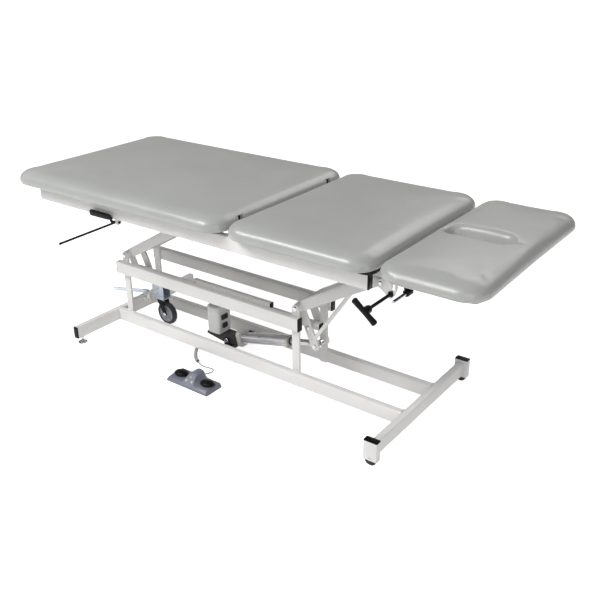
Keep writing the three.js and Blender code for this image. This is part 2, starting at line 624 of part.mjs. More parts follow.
function addTieBar() {
  const length = LIFT_PIVOT_SPACING + 2 * TIE_BAR_OVERHANG;
  const tube = railAlongX(length, TIE_BAR_SIZE, TIE_BAR_SIZE);
  const holes = [-1, 1].map((sign) => pinAlongY(PIN_RADIUS + RUNNING, TIE_BAR_SIZE + OVERRUN,
    sign * LIFT_PIVOT_SPACING / 2, 0, 0, 12));
  const middle = rightPivotX + tieOffsetX - LIFT_PIVOT_SPACING / 2;
  const caps = [-1, 1].map((sign) => alongX(prism(roundedRect(TIE_BAR_SIZE, TIE_BAR_SIZE, TUBE_CORNER),
    CAP_THICKNESS)).translate(sign * (length + CAP_THICKNESS) / 2, 0, 0));
  const whole = cut(join(tube, ...caps), ...holes);
  add('tie_bar', whole, paint, middle, MECHANISM_Y, LIFT_PIVOT_Z + tieOffsetZ);
}

// Lift actuator: drawn along X from its rear pivot and turned to its slope

function addActuator() {
  const place = (geometry) => geometry.rotateY(-actuatorAngle);
  const at = [actuatorPivotX, MECHANISM_Y, ACTUATOR_PIVOT_Z];
  add('actuator_gearbox', gearbox(), darkGrey, ...at);
  add('actuator_motor', motor(), paleGrey, ...at);
  const boreRadius = ROD_RADIUS + RUNNING;
  const profile = roundedRect(OUTER_TUBE_HEIGHT, OUTER_TUBE_WIDTH, OUTER_TUBE_HEIGHT / 4);
  profile.holes.push(holePath(0, 0, boreRadius, 16));
  const tubeStart = COLLAR_START + COLLAR_LENGTH + SEAT;
  const tubeLength = OUTER_TUBE_END - tubeStart;
  const tube = alongX(prism(profile, tubeLength, 3)).translate(tubeStart + tubeLength / 2, 0, 0);
  const collarShape = roundedRect(OUTER_TUBE_HEIGHT + CAP_THICKNESS, OUTER_TUBE_WIDTH + CAP_THICKNESS,
    OUTER_TUBE_HEIGHT / 4);
  collarShape.holes.push(holePath(0, 0, boreRadius, 16));
  const collar = alongX(prism(collarShape, END_COLLAR_LENGTH, 3));
  const whole = join(tube, collar.translate(OUTER_TUBE_END + END_COLLAR_LENGTH / 2, 0, 0));
  add('actuator_tube', place(whole), anodised, ...at);
  const rodEnd = actuatorLength;
  const shaft = rodBetween(ROD_RADIUS, [ROD_START, 0, 0], [rodEnd, 0, 0], 20);
  const eye = pinAlongY(ROD_EYE_RADIUS, ROD_EYE_WIDTH, rodEnd, 0, 0, 16);
  const flat = 2 * ROD_EYE_RADIUS + OVERRUN;
  const cheekY = (ROD_EYE_WIDTH + ROD_RADIUS) / 2;
  const cheeks = [-1, 1].map((sign) => bar(flat, ROD_RADIUS, flat, rodEnd, sign * cheekY, 0));
  const bore = pinAlongY(PIN_RADIUS + RUNNING, ROD_EYE_WIDTH + OVERRUN, rodEnd, 0, 0, 12);
  add('actuator_rod', place(cut(join(shaft, eye), ...cheeks, bore)), steel, ...at);
  addActuatorBracket();
}

// Gear housing with a boss at the rear pivot, reaching back under the motor and forward to the collar
function gearbox() {
  const shape = new THREE.Shape();
  const tail = -GEARBOX_REACH;
  const top = GEARBOX_HEIGHT / 2;
  const boss = GEARBOX_BOSS_RADIUS;
  const tailRound = GEARBOX_HEIGHT / 3;
  shape.moveTo(0, -boss);
  shape.absarc(0, 0, boss, -Math.PI / 2, -Math.PI / 5);
  shape.lineTo(COLLAR_START, -boss / 2);
  shape.lineTo(COLLAR_START, COLLAR_HEIGHT / 3);
  shape.quadraticCurveTo(COLLAR_START / 3, COLLAR_HEIGHT / 3, 0, top);
  shape.lineTo(tail, top);
  shape.absarc(tail, top - tailRound, tailRound, Math.PI / 2, Math.PI * 1.2);
  shape.closePath();
  const body = upright(prism(shape, GEARBOX_WIDTH, 4));
  const step = OVERRUN / 2;
  const bosses = pinAlongY(boss * 0.66, GEARBOX_WIDTH + 2 * step, 0, 0, 0, 16);
  const collar = alongX(prism(roundedRect(COLLAR_HEIGHT, COLLAR_WIDTH, COLLAR_HEIGHT / 4), COLLAR_LENGTH, 3));
  collar.translate(COLLAR_START + COLLAR_LENGTH / 2, 0, 0).rotateY(-actuatorAngle);
  const bore = pinAlongY(PIN_RADIUS + RUNNING, GEARBOX_WIDTH + 3 * OVERRUN, 0, 0, 0, 12);
  return cut(join(body, bosses, collar), bore);
}

// Upright motor housing standing on the gear housing, with rounded edges
function motor() {
  const shape = roundedRect(MOTOR_LENGTH, MOTOR_WIDTH, MOTOR_LENGTH / 5);
  const bevel = MOTOR_LENGTH / 12;
  const geometry = new THREE.ExtrudeGeometry(shape, {
    depth: MOTOR_HEIGHT - 2 * bevel, bevelEnabled: true, bevelThickness: bevel, bevelSize: bevel,
    bevelOffset: -bevel, bevelSegments: 2, curveSegments: 2,
  });
  const left = -GEARBOX_REACH;
  return geometry.translate(left + MOTOR_LENGTH / 2, 0, GEARBOX_HEIGHT / 2 + SEAT + bevel);
}

// Cross tube between the base rails with two ears and the rear pivot's pin
function addActuatorBracket() {
  const length = 2 * (railInnerY - SEAT);
  const tubeZ = BASE_TUBE_UNDERSIDE + BRACKET_TUBE / 2;
  const earY = GEARBOX_WIDTH / 2 + OVERRUN / 2 + SEAT + BRACKET_EAR_THICKNESS / 2;
  const pieces = [
    railAlongY(length, BRACKET_TUBE, BRACKET_TUBE),
    pinAlongY(PIN_RADIUS, 2 * earY + BRACKET_EAR_THICKNESS + BOLT_HEAD_HEIGHT, 0, MECHANISM_Y,
      ACTUATOR_PIVOT_Z - tubeZ, 12),
  ];
  for (const sign of [-1, 1]) {
    pieces.push(earPlate((BRACKET_TUBE - TUBE_WALL) / 2, 0, ACTUATOR_PIVOT_Z - tubeZ, BRACKET_TUBE - OVERRUN,
      BRACKET_EAR_THICKNESS, MECHANISM_Y + sign * earY));
  }
  add('actuator_bracket', join(...pieces), blackPaint, actuatorPivotX, 0, tubeZ);
}

// Top frame

function addTopFrame() {
  const length = topRailRight - topRailLeft;
  const middle = (topRailRight + topRailLeft) / 2;
  for (const [side, sign] of [['front', -1], ['back', 1]]) {
    const tube = railAlongX(length);
    const rail = side === 'front' ? join(tube, leverBracket(middle)) : tube;
    add(`top_rail_${side}`, rail, paint, middle, sign * topRailY, railCentreZ);
    const cap = capGeometry(TUBE_DEPTH, TUBE_WIDTH).rotateY(Math.PI / 2);
    add(`top_rail_cap_${side}`, cap, blackPlastic, topRailRight + SEAT, sign * topRailY, railCentreZ);
  }
  const crossLength = 2 * (topRailInnerY - SEAT);
  const endX = topRailLeft + END_CROSS_INSET;
  add('top_cross_end', railAlongY(crossLength, TUBE_WIDTH, CROSS_DEPTH), paint, endX, 0, crossCentreZ);
  const leftX = leftPivotX + armRun;
  add('top_cross_left', pivotCross(crossLength), paint, leftX, 0, crossCentreZ);
  const rightX = rightPivotX + armRun;
  const rightCross = join(pivotCross(crossLength), ...headCheeks(rightX));
  add('top_cross_right', rightCross, paint, rightX, 0, crossCentreZ);
  add('top_cross_hinge', hingeCross(crossLength), paint, hingeX, 0, hingeZ);
}

// Cross tube with a pair of ears and a pin for each lift arm's eye
function pivotCross(length) {
  const pinZ = upperPivotZ - crossCentreZ;
  const pieces = [railAlongY(length, TUBE_WIDTH, CROSS_DEPTH)];
  const earOffset = TUBE_WIDTH / 2 + SEAT + EAR_THICKNESS / 2;
  const earTop = (TUBE_WALL - CROSS_DEPTH) / 2;
  for (const sign of [-1, 1]) {
    for (const inner of [-1, 1]) {
      const y = sign * armY + inner * earOffset;
      pieces.push(earPlate(earTop, 0, pinZ, TUBE_WIDTH, EAR_THICKNESS, y));
    }
    const pinLength = TUBE_WIDTH + 2 * (SEAT + EAR_THICKNESS) + BOLT_HEAD_HEIGHT;
    pieces.push(pinAlongY(PIN_RADIUS, pinLength, 0, sign * armY, pinZ, 12));
  }
  return join(...pieces);
}

// Fixed plates at the right end that hold the head section's hinge pins and the clamp screw
function headCheeks(originX) {
  const pieces = [];
  const pivotX = headPivotX - originX;
  const pivotZ = headPivotZ - crossCentreZ;
  const screwX = pivotX + CLAMP_OFFSET_X;
  const screwZ = pivotZ + CLAMP_OFFSET_Z;
  for (const sign of [-1, 1]) {
    const y = sign * headCheekY;
    const web = linkPlate(0, pivotZ, pivotX, pivotZ, 2 * QUADRANT_BOSS_RADIUS, HEAD_CHEEK_THICKNESS, y);
    const screwHole = { at: clampRadius, radius: CLAMP_SCREW_RADIUS + RUNNING };
    const arm = linkPlate(pivotX, pivotZ, screwX, screwZ, CLAMP_ARM_WIDTH, HEAD_CHEEK_THICKNESS, y,
      [screwHole]);
    const pinLength = HEAD_CHEEK_THICKNESS + 2 * (SEAT + QUADRANT_THICKNESS) + BOLT_HEAD_HEIGHT;
    pieces.push(web, arm, pinAlongY(PIN_RADIUS, pinLength, pivotX, y, pivotZ, 12));
  }
  return pieces;
}

// Low cross tube whose ears and pins carry the long section
function hingeCross(length) {
  const tubeZ = -HINGE_DROP - CROSS_DEPTH / 2;
  const pieces = [railAlongY(length, TUBE_WIDTH, CROSS_DEPTH).translate(0, 0, tubeZ)];
  for (const sign of [-1, 1]) {
    const y = sign * hingeEarY;
    pieces.push(earPlate(tubeZ + (CROSS_DEPTH - TUBE_WALL) / 2, 0, 0, 2 * HINGE_EAR_RADIUS - OVERRUN,
      HINGE_EAR_THICKNESS, y));
    const pinLength = HINGE_EAR_THICKNESS + SEAT + HINGE_EAR_THICKNESS;
    pieces.push(pinAlongY(PIN_RADIUS, pinLength, 0, y + (HINGE_EAR_THICKNESS + SEAT) / 2, 0, 12));
  }
  return join(...pieces);
}

// Shallow pressed pan under a cushion, open below
function panGeometry(length, width) {
  const outer = prism(roundedRect(length, width, PAN_CORNER), PAN_DEPTH, 2);
  const hollow = roundedRect(length - 2 * PAN_WALL, width - 2 * PAN_WALL, PAN_CORNER - PAN_WALL);
  const inner = prism(hollow, PAN_DEPTH, 2);
  return cut(outer, inner.translate(0, 0, -PAN_WALL));
}

// Cushion: stacked outlines up a rounded edge, sides drawn in between the corners, crowned top

function outline(length, width, inset, height, drawIn) {
  const radius = Math.max(CUSHION_CORNER - inset, CUSHION_CORNER / 8);
  const halfX = length / 2 - inset;
  const halfY = width / 2 - inset;
  const points = [];
  const steps = 4;
  const corners = [[1, -1, -Math.PI / 2], [1, 1, 0], [-1, 1, Math.PI / 2], [-1, -1, Math.PI]];
  corners.forEach(([sx, sy, start], corner) => {
    for (let i = 0; i <= steps; i += 1) {
      const angle = start + (i / steps) * (Math.PI / 2);
      const x = sx * (halfX - radius) + radius * Math.cos(angle);
      const y = sy * (halfY - radius) + radius * Math.sin(angle);
      points.push([x, y, height]);
    }
    const last = points[points.length - 1];
    const [nx, ny, nextStart] = corners[(corner + 1) % corners.length];
    const nextX = nx * (halfX - radius) + radius * Math.cos(nextStart);
    const nextY = ny * (halfY - radius) + radius * Math.sin(nextStart);
    const sideSteps = 4;
    for (let i = 1; i < sideSteps; i += 1) {
      const share = i / sideSteps;
      const pull = drawIn * Math.sin(Math.PI * share);
      const x = last[0] + (nextX - last[0]) * share;
      const y = last[1] + (nextY - last[1]) * share;
      const alongSideX = Math.abs(nextX - last[0]) > Math.abs(nextY - last[1]);
      const pullX = alongSideX ? 0 : Math.sign(x) * pull;
      const pullY = alongSideX ? Math.sign(y) * pull : 0;
      points.push([x - pullX, y - pullY, height]);
    }
  });
  return points;
}

function cushionGeometry(length, width) {
  const t = CUSHION_THICKNESS;
  const edgeTop = t - CUSHION_CROWN;
  const rounds = 4;
  const rings = [];
  for (let i = 0; i <= rounds; i += 1) {
    const angle = (i / rounds) * (Math.PI / 2);
    const inset = CUSHION_BOTTOM_ROUND * (1 - Math.sin(angle));
    rings.push([inset, CUSHION_BOTTOM_ROUND * (1 - Math.cos(angle)), i / rounds]);
  }
  for (let i = 0; i <= rounds; i += 1) {
    const angle = (i / rounds) * (Math.PI / 2);
    const inset = CUSHION_TOP_ROUND * (1 - Math.cos(angle));
    rings.push([inset, edgeTop - CUSHION_TOP_ROUND * (1 - Math.sin(angle)), 1]);
  }
  const half = Math.min(length, width) / 2;
  const crownShares = [0.4, 0.62, 0.85];
  for (const share of crownShares) {
    const inset = half * share;
    const rise = 1 - ((half - inset) / (half - CUSHION_TOP_ROUND)) ** 2;
    rings.push([inset, edgeTop + CUSHION_CROWN * rise, 1 - share]);
  }
  const loops = rings.map(([inset, height, pull]) => (
    outline(length, width, inset, height, CUSHION_DRAW_IN * pull)));
  const count = loops[0].length;
  const positions = [0, 0, 0];
  loops.forEach((loop) => loop.forEach((point) => positions.push(...point)));
  positions.push(0, 0, t);
  const topIndex = positions.length / 3 - 1;
  const triangles = [];
  const at = (ring, i) => 1 + ring * count + (i % count);
  for (let i = 0; i < count; i += 1) {
    triangles.push(0, at(0, i + 1), at(0, i));
    for (let ring = 0; ring + 1 < loops.length; ring += 1) {
      triangles.push(at(ring, i), at(ring, i + 1), at(ring + 1, i + 1));
      triangles.push(at(ring, i), at(ring + 1, i + 1), at(ring + 1, i));
    }
    triangles.push(at(loops.length - 1, i), at(loops.length - 1, i + 1), topIndex);
  }
  const geometry = new THREE.BufferGeometry();
  geometry.setAttribute('position', new THREE.Float32BufferAttribute(positions, 3));
  geometry.setIndex(triangles);
  geometry.computeVertexNormals();
  return geometry;
}

function slotTool(length, width, depth) {
  return prism(roundedRect(length, width, width / 2 - SEAT), depth, 4);
}

function addSections() {
  const headLength = tableRight - headLeft;
  const longCentre = tableLeft + LONG_SECTION_LENGTH / 2;
  const centreCentre = centreLeft + CENTRE_SECTION_LENGTH / 2;
  const headCentre = headLeft + headLength / 2;
  const panWidth = TABLE_WIDTH - 2 * PAN_SIDE_INSET;
  const panZ = panBottom + PAN_DEPTH / 2;

  // Two pockets in the long cushion clear the hinge ears
  const pocketRadius = HINGE_EAR_RADIUS + HINGE_POCKET_CLEARANCE;
  const longCushion = cushionGeometry(LONG_SECTION_LENGTH, TABLE_WIDTH);
  longCushion.translate(longCentre, 0, cushionBottom);
  const pockets = [-1, 1].flatMap((sign) => {
    const y = sign * hingeEarY + (HINGE_EAR_THICKNESS + SEAT) / 2;
    const left = hingeX - pocketRadius;
    const right = longRight + OVERRUN;
    const depth = hingeZ - cushionBottom + OVERRUN;
    const slot = bar(right - left, HINGE_POCKET_WIDTH, depth, (left + right) / 2, y, hingeZ - depth / 2);
    const over = bar(right - hingeX, HINGE_POCKET_WIDTH, 2 * pocketRadius, (right + hingeX) / 2, y, hingeZ);
    return [slot, over, pinAlongY(pocketRadius, HINGE_POCKET_WIDTH, hingeX, y, hingeZ, 24)];
  });
  add('cushion_long', cut(longCushion, ...pockets), vinyl);
  addLongPan(longCentre, panWidth, panZ);

  const centreCushion = cushionGeometry(CENTRE_SECTION_LENGTH, TABLE_WIDTH);
  add('cushion_centre', centreCushion, vinyl, centreCentre, 0, cushionBottom);
  const centrePanLength = CENTRE_SECTION_LENGTH - 2 * PAN_INSET;
  add('pan_centre', panGeometry(centrePanLength, panWidth), blackPaint, centreCentre, 0, panZ);

  const slotX = tableRight - headLength * NOSE_SLOT_MARGIN_SHARE - noseSlotLength / 2;
  const slot = slotTool(noseSlotLength, NOSE_SLOT_WIDTH, 3 * CUSHION_THICKNESS);
  slot.translate(slotX, 0, cushionBottom);
  const headCushion = cushionGeometry(headLength, TABLE_WIDTH).translate(headCentre, 0, cushionBottom);
  add('cushion_head', cut(headCushion, slot), vinyl);
  addHeadPan(headLength, headCentre, panWidth, panZ, slotX);
}

// Long section pan with the two ears that ride on the hinge pins
function addLongPan(longCentre, panWidth, panZ) {
  const panRight = hingeX - pocketEdge();
  const panLeft = tableLeft + PAN_INSET;
  const length = panRight - panLeft;
  const pan = panGeometry(length, panWidth).translate((panLeft + panRight) / 2, 0, panZ);
  const pieces = [pan];
  for (const sign of [-1, 1]) {
    const y = sign * hingeEarY + HINGE_EAR_THICKNESS + SEAT;
    const ear = new THREE.Shape();
    const r = HINGE_EAR_RADIUS;
    const low = panBottom - hingeZ;
    ear.moveTo(-2 * r - PAN_INSET, low);
    ear.lineTo(r - OVERRUN, low);
    ear.lineTo(r, 0);
    ear.absarc(0, 0, r, 0, Math.PI);
    ear.lineTo(-r, low + PAN_DEPTH - PAN_WALL);
    ear.lineTo(-2 * r - PAN_INSET, low + PAN_DEPTH - PAN_WALL);
    ear.closePath();
    ear.holes.push(holePath(0, 0, PIN_RADIUS + RUNNING));
    pieces.push(upright(prism(ear, HINGE_EAR_THICKNESS, 4)).translate(hingeX, y, hingeZ));
  }
  add('pan_long', join(...pieces), blackPaint);
}

function pocketEdge() {
  return HINGE_EAR_RADIUS + HINGE_POCKET_CLEARANCE + OVERRUN;
}

// Head section pan with its hinge plates: a sector with a slot for the clamp screw on each side
function addHeadPan(headLength, headCentre, panWidth, panZ, slotX) {
  const length = headLength - 2 * PAN_INSET;
  const pan = panGeometry(length, panWidth).translate(headCentre, 0, panZ);
  const lip = NOSE_SLOT_LIP;
  const hole = slotTool(noseSlotLength + 2 * lip, NOSE_SLOT_WIDTH + 2 * lip, 2 * PAN_DEPTH);
  const pieces = [cut(pan, hole.translate(slotX, 0, panZ))];
  const outer = clampRadius + CLAMP_SLOT_MARGIN + CLAMP_SCREW_RADIUS;
  const slotHalf = CLAMP_SCREW_RADIUS + RUNNING;
  const slotEnd = clampAngle + HEAD_DROP_RANGE;
  const margin = (CLAMP_SLOT_MARGIN + CLAMP_SCREW_RADIUS) / clampRadius;
  const neckLeft = headLeft + PAN_INSET - headPivotX;
  const neckTop = panTop - PAN_WALL / 2 - headPivotZ;
  const sector = () => {
    const shape = new THREE.Shape();
    shape.absarc(0, 0, QUADRANT_BOSS_RADIUS, Math.PI / 2, Math.PI + Math.PI / 3, false);
    shape.absarc(0, 0, outer, clampAngle - margin, slotEnd + margin, false);
    shape.lineTo(outer * Math.cos(slotEnd + margin), neckTop);
    shape.lineTo(neckLeft, neckTop);
    shape.closePath();
    const slot = new THREE.Path();
    slot.absarc(0, 0, clampRadius + slotHalf, clampAngle, slotEnd, false);
    slot.absarc(clampRadius * Math.cos(slotEnd), clampRadius * Math.sin(slotEnd), slotHalf, slotEnd,
      slotEnd + Math.PI, false);
    slot.absarc(0, 0, clampRadius - slotHalf, slotEnd, clampAngle, true);
    slot.absarc(clampRadius * Math.cos(clampAngle), clampRadius * Math.sin(clampAngle), slotHalf,
      clampAngle + Math.PI, clampAngle + 2 * Math.PI, false);
    slot.closePath();
    shape.holes.push(slot);
    shape.holes.push(holePath(0, 0, PIN_RADIUS + RUNNING));
    return upright(prism(shape, QUADRANT_THICKNESS, 3));
  };
  for (const sign of [-1, 1]) {
    const y = sign * (headCheekY + HEAD_CHEEK_THICKNESS / 2 + SEAT + QUADRANT_THICKNESS / 2);
    pieces.push(sector().translate(headPivotX, y, headPivotZ));
  }
  add('pan_head', join(...pieces, ...releaseClevis()), blackPaint);
  addClamp();
  addHeadRelease();
}

// Clevis under the head pan for the release bar
function releaseClevis() {
  const pieces = [];
  const y = RELEASE_ARM_THICKNESS / 2 + SEAT + EAR_THICKNESS / 2;
  for (const sign of [-1, 1]) {
    pieces.push(linkPlate(releasePivotX, panBottom + PAN_DEPTH - PAN_WALL, releasePivotX, releasePivotZ,
      TUBE_WIDTH / 2, EAR_THICKNESS, RELEASE_Y + sign * y));
  }
  const length = 2 * (y + EAR_THICKNESS / 2) + OVERRUN;
  pieces.push(pinAlongY(RELEASE_BAR_RADIUS / 2, length, releasePivotX, RELEASE_Y, releasePivotZ, 12));
  const panCut = bar(4 * TUBE_WIDTH, 4 * TUBE_WIDTH, CUSHION_THICKNESS, releasePivotX, RELEASE_Y,
    panTop - PAN_WALL / 2 + CUSHION_THICKNESS / 2);
  return [cut(join(...pieces), panCut)];
}

// T-handle on the clamp screw that locks the head section's quadrant
function addClamp() {
  const inner = headCheekY - HEAD_CHEEK_THICKNESS / 2 - OVERRUN;
  const face = headCheekY + HEAD_CHEEK_THICKNESS / 2 + QUADRANT_THICKNESS + 2 * SEAT;
  const screwLength = CLAMP_REACH - inner;
  const shaftLength = CLAMP_REACH - face;
  const half = CLAMP_BAR_LENGTH / 2 - CLAMP_BAR_RADIUS;
  const dx = half * Math.cos(CLAMP_BAR_TILT);
  const dz = half * Math.sin(CLAMP_BAR_TILT);
  const grip = linkPlate(-dx, -dz, dx, dz, 2 * CLAMP_BAR_RADIUS, 1.6 * CLAMP_BAR_RADIUS, 0);
  const pieces = [
    grip,
    pinAlongY(CLAMP_HUB_RADIUS, CLAMP_HUB_LENGTH, 0, CLAMP_HUB_LENGTH / 2, 0, 20),
    pinAlongY(CLAMP_SHAFT_RADIUS, shaftLength, 0, shaftLength / 2, 0, 12),
    pinAlongY(CLAMP_SLOT_MARGIN + CLAMP_WASHER, CLAMP_WASHER, 0, shaftLength - CLAMP_WASHER / 2, 0, 20),
    pinAlongY(CLAMP_SCREW_RADIUS, screwLength, 0, screwLength / 2, 0, 12),
  ];
  add('clamp_handle', join(...pieces), blackPlastic, headPivotX + CLAMP_OFFSET_X, -CLAMP_REACH,
    headPivotZ + CLAMP_OFFSET_Z);
}

// Bright cross bar in a black hub on a short arm, under the head pan
function addHeadRelease() {
  const toX = RELEASE_BAR_OFFSET;
  const toZ = -RELEASE_BAR_DROP;
  const hole = [{ at: 0, radius: RELEASE_BAR_RADIUS / 2 + RUNNING }];
  const pieces = [
    linkPlate(0, 0, toX, toZ, 2 * CLAMP_SLOT_MARGIN, RELEASE_ARM_THICKNESS, 0, hole),
    pinAlongY(RELEASE_HUB_RADIUS, RELEASE_HUB_LENGTH, toX, 0, toZ, 20),
    pinAlongY(RELEASE_BAR_RADIUS, RELEASE_BAR_LENGTH, toX, RELEASE_BAR_CENTRE_Y - RELEASE_Y, toZ, 12),
  ];
  add('head_release_bar', join(...pieces), steel, releasePivotX, RELEASE_Y, releasePivotZ);
}

// Long section release: grip and thin pull rod on one lever, turning in a bracket under the front rail
function addReleaseLever() {
  const pivotZ = railTop - TUBE_DEPTH - LEVER_PIVOT_DROP;
  const pivotY = -topRailY;
  const gripY = -topRailOuterY - GRIP_GAP - GRIP_WIDTH / 2;
  const gripX = gripLeft + GRIP_LENGTH / 2;
  const grip = alongX(prism(roundedRect(GRIP_DEPTH, GRIP_WIDTH, GRIP_WIDTH / 2.5), GRIP_LENGTH, 2));
  const armWidth = LEVER_BRACKET_THICKNESS;
  const armX = leverPivotX - LEVER_BRACKET_THICKNESS / 2 - SEAT - armWidth;
  const pinLength = leverPivotX + LEVER_BRACKET_THICKNESS / 2 + OVERRUN - armX;
  const dz = gripCentreZ - pivotZ;
  const armLength = gripLeft + GRIP_LENGTH - armX;
  const kneeZ = pivotZ + dz / 3;
  const rodTip = [tableLeft + ROD_TIP_INSET, rodTipY + RELEASE_ROD_RADIUS, railTop - ROD_TIP_DROP];
  const pieces = [
    grip.translate(gripX, gripY, gripCentreZ),
    bar(Math.abs(armLength) + 2 * armWidth, GRIP_WIDTH / 2, GRIP_DEPTH / 2, armX + armLength / 2, gripY,
      gripCentreZ - GRIP_DEPTH / 4),
    rodBetween(armWidth, [armX, pivotY, pivotZ], [armX, gripY, kneeZ], 12),
    rodBetween(armWidth, [armX, gripY, kneeZ], [armX, gripY, gripCentreZ], 12),
    rodBetween(RELEASE_ROD_RADIUS, [armX, pivotY, pivotZ], rodTip, 10),
    pinAlongX(RELEASE_ROD_RADIUS, pinLength, armX + pinLength / 2, pivotY, pivotZ),
  ];
  const nose = new THREE.SphereGeometry(RELEASE_ROD_RADIUS, 12, 8);
  nose.translate(...rodTip);
  add('release_lever', join(...pieces, nose), blackPlastic);
}

// Plate under the front rail, drawn from the rail's middle, that the release lever turns in
function leverBracket(railMiddle) {
  const top = (TUBE_WALL - TUBE_DEPTH) / 2;
  const pivotZ = -TUBE_DEPTH / 2 - LEVER_PIVOT_DROP;
  const low = pivotZ - 3 * RELEASE_ROD_RADIUS;
  const x = leverPivotX - railMiddle;
  const plate = bar(LEVER_BRACKET_THICKNESS, TUBE_WIDTH, top - low, x, 0, (top + low) / 2);
  return cut(plate, pinAlongX(RELEASE_ROD_RADIUS + RUNNING, 2 * LEVER_BRACKET_THICKNESS, x, 0, pivotZ));
}

function pinAlongX(radius, length, x, y, z, sides = 10) {
  return new THREE.CylinderGeometry(radius, radius, length, sides).rotateZ(Math.PI / 2).translate(x, y, z);
}

// Drop-down caster

function addCaster() {
  const barLength = 2 * (postInnerY - SEAT);
  const cross = railAlongY(barLength, CASTER_BAR_SIZE, CASTER_BAR_SIZE);
  const guideWidth = CARRIAGE_WIDTH;
  const postX = CASTER_STEM_OFFSET - CARRIAGE_DEPTH / 2 - SEAT;
  const armLow = 2 * CASTER_WHEEL_RADIUS + CASTER_LIFT + 2 * OVERRUN - CASTER_BAR_Z;
  const armHigh = FORK_PLATE_Z + CASTER_BAR_SIZE / 4 - CASTER_BAR_Z;
  const plateHeight = CARRIAGE_TOP - CASTER_BAR_Z - armLow;
  // Back plate that the carriage slides on, and the arm that joins it to the cross bar
  const plateX = postX - CARRIAGE_WALL / 2 - SEAT;
  const plate = bar(CARRIAGE_WALL, guideWidth, plateHeight, plateX, 0, armLow + plateHeight / 2);
  const reach = postX - CARRIAGE_WALL;
  const arm = bar(reach, CARRIAGE_WIDTH / 2, armHigh - armLow, reach / 2, 0, (armLow + armHigh) / 2);
  const guideHeight = FOOT_LEVER_DEPTH * 4;
  const leverAtGuide = FOOT_LEVER_LEFT_Z + (FOOT_LEVER_PIVOT_Z - FOOT_LEVER_LEFT_Z)
    * (FOOT_LEVER_REACH - GUIDE_OFFSET) / (FOOT_LEVER_REACH + FOOT_LEVER_PIVOT_OFFSET);
  const guideZ = leverAtGuide - CASTER_BAR_Z - 0.85 * FOOT_LEVER_DEPTH;
  const guideX = -GUIDE_OFFSET;
  const guide = cut(
    bar(GUIDE_PLATE_THICKNESS, guideWidth / 1.5, guideHeight, guideX, FOOT_LEVER_Y, guideZ),
    bar(GUIDE_PLATE_THICKNESS + OVERRUN, FOOT_LEVER_THICKNESS + 2 * OVERRUN, guideHeight - FOOT_LEVER_DEPTH,
      guideX, FOOT_LEVER_Y, guideZ),
  );
  const strut = bar(Math.abs(guideX) + GUIDE_PLATE_THICKNESS, GUIDE_PLATE_THICKNESS, CASTER_BAR_SIZE / 2,
    guideX / 2, FOOT_LEVER_Y - guideWidth / 3, 0);
  // Lug for the foot lever's pivot pin
  const lugY = FOOT_LEVER_Y + FOOT_LEVER_THICKNESS / 2 + SEAT + EAR_THICKNESS / 2;
  const lugX = FOOT_LEVER_PIVOT_OFFSET;
  const lugZ = FOOT_LEVER_PIVOT_Z - CASTER_BAR_Z;
  const lug = linkPlate(lugX, 0, lugX, lugZ, TUBE_WIDTH / 2, EAR_THICKNESS, lugY);
  const lugArm = bar(lugX, EAR_THICKNESS, CASTER_BAR_SIZE / 2, lugX / 2, lugY, 0);
  const pin = pinAlongY(RELEASE_ROD_RADIUS, FOOT_LEVER_THICKNESS + EAR_THICKNESS + 2 * OVERRUN, lugX,
    lugY - FOOT_LEVER_THICKNESS / 2, lugZ, 12);
  const mount = join(cross, plate, arm, guide, strut, lug, lugArm, pin);
  add('caster_mount', mount, paint, casterBarX, 0, CASTER_BAR_Z);

  addFootLever();
  addCarriage();
}

function addFootLever() {
  const hole = { at: 0, radius: RELEASE_ROD_RADIUS + RUNNING };
  const left = casterBarX - FOOT_LEVER_REACH + FOOT_LEVER_DEPTH / 2;
  const lever = linkPlate(footLeverPivotX, FOOT_LEVER_PIVOT_Z, left, FOOT_LEVER_LEFT_Z, FOOT_LEVER_DEPTH,
    FOOT_LEVER_THICKNESS, FOOT_LEVER_Y, [hole]);
  add('foot_lever', lever, zinc);
}

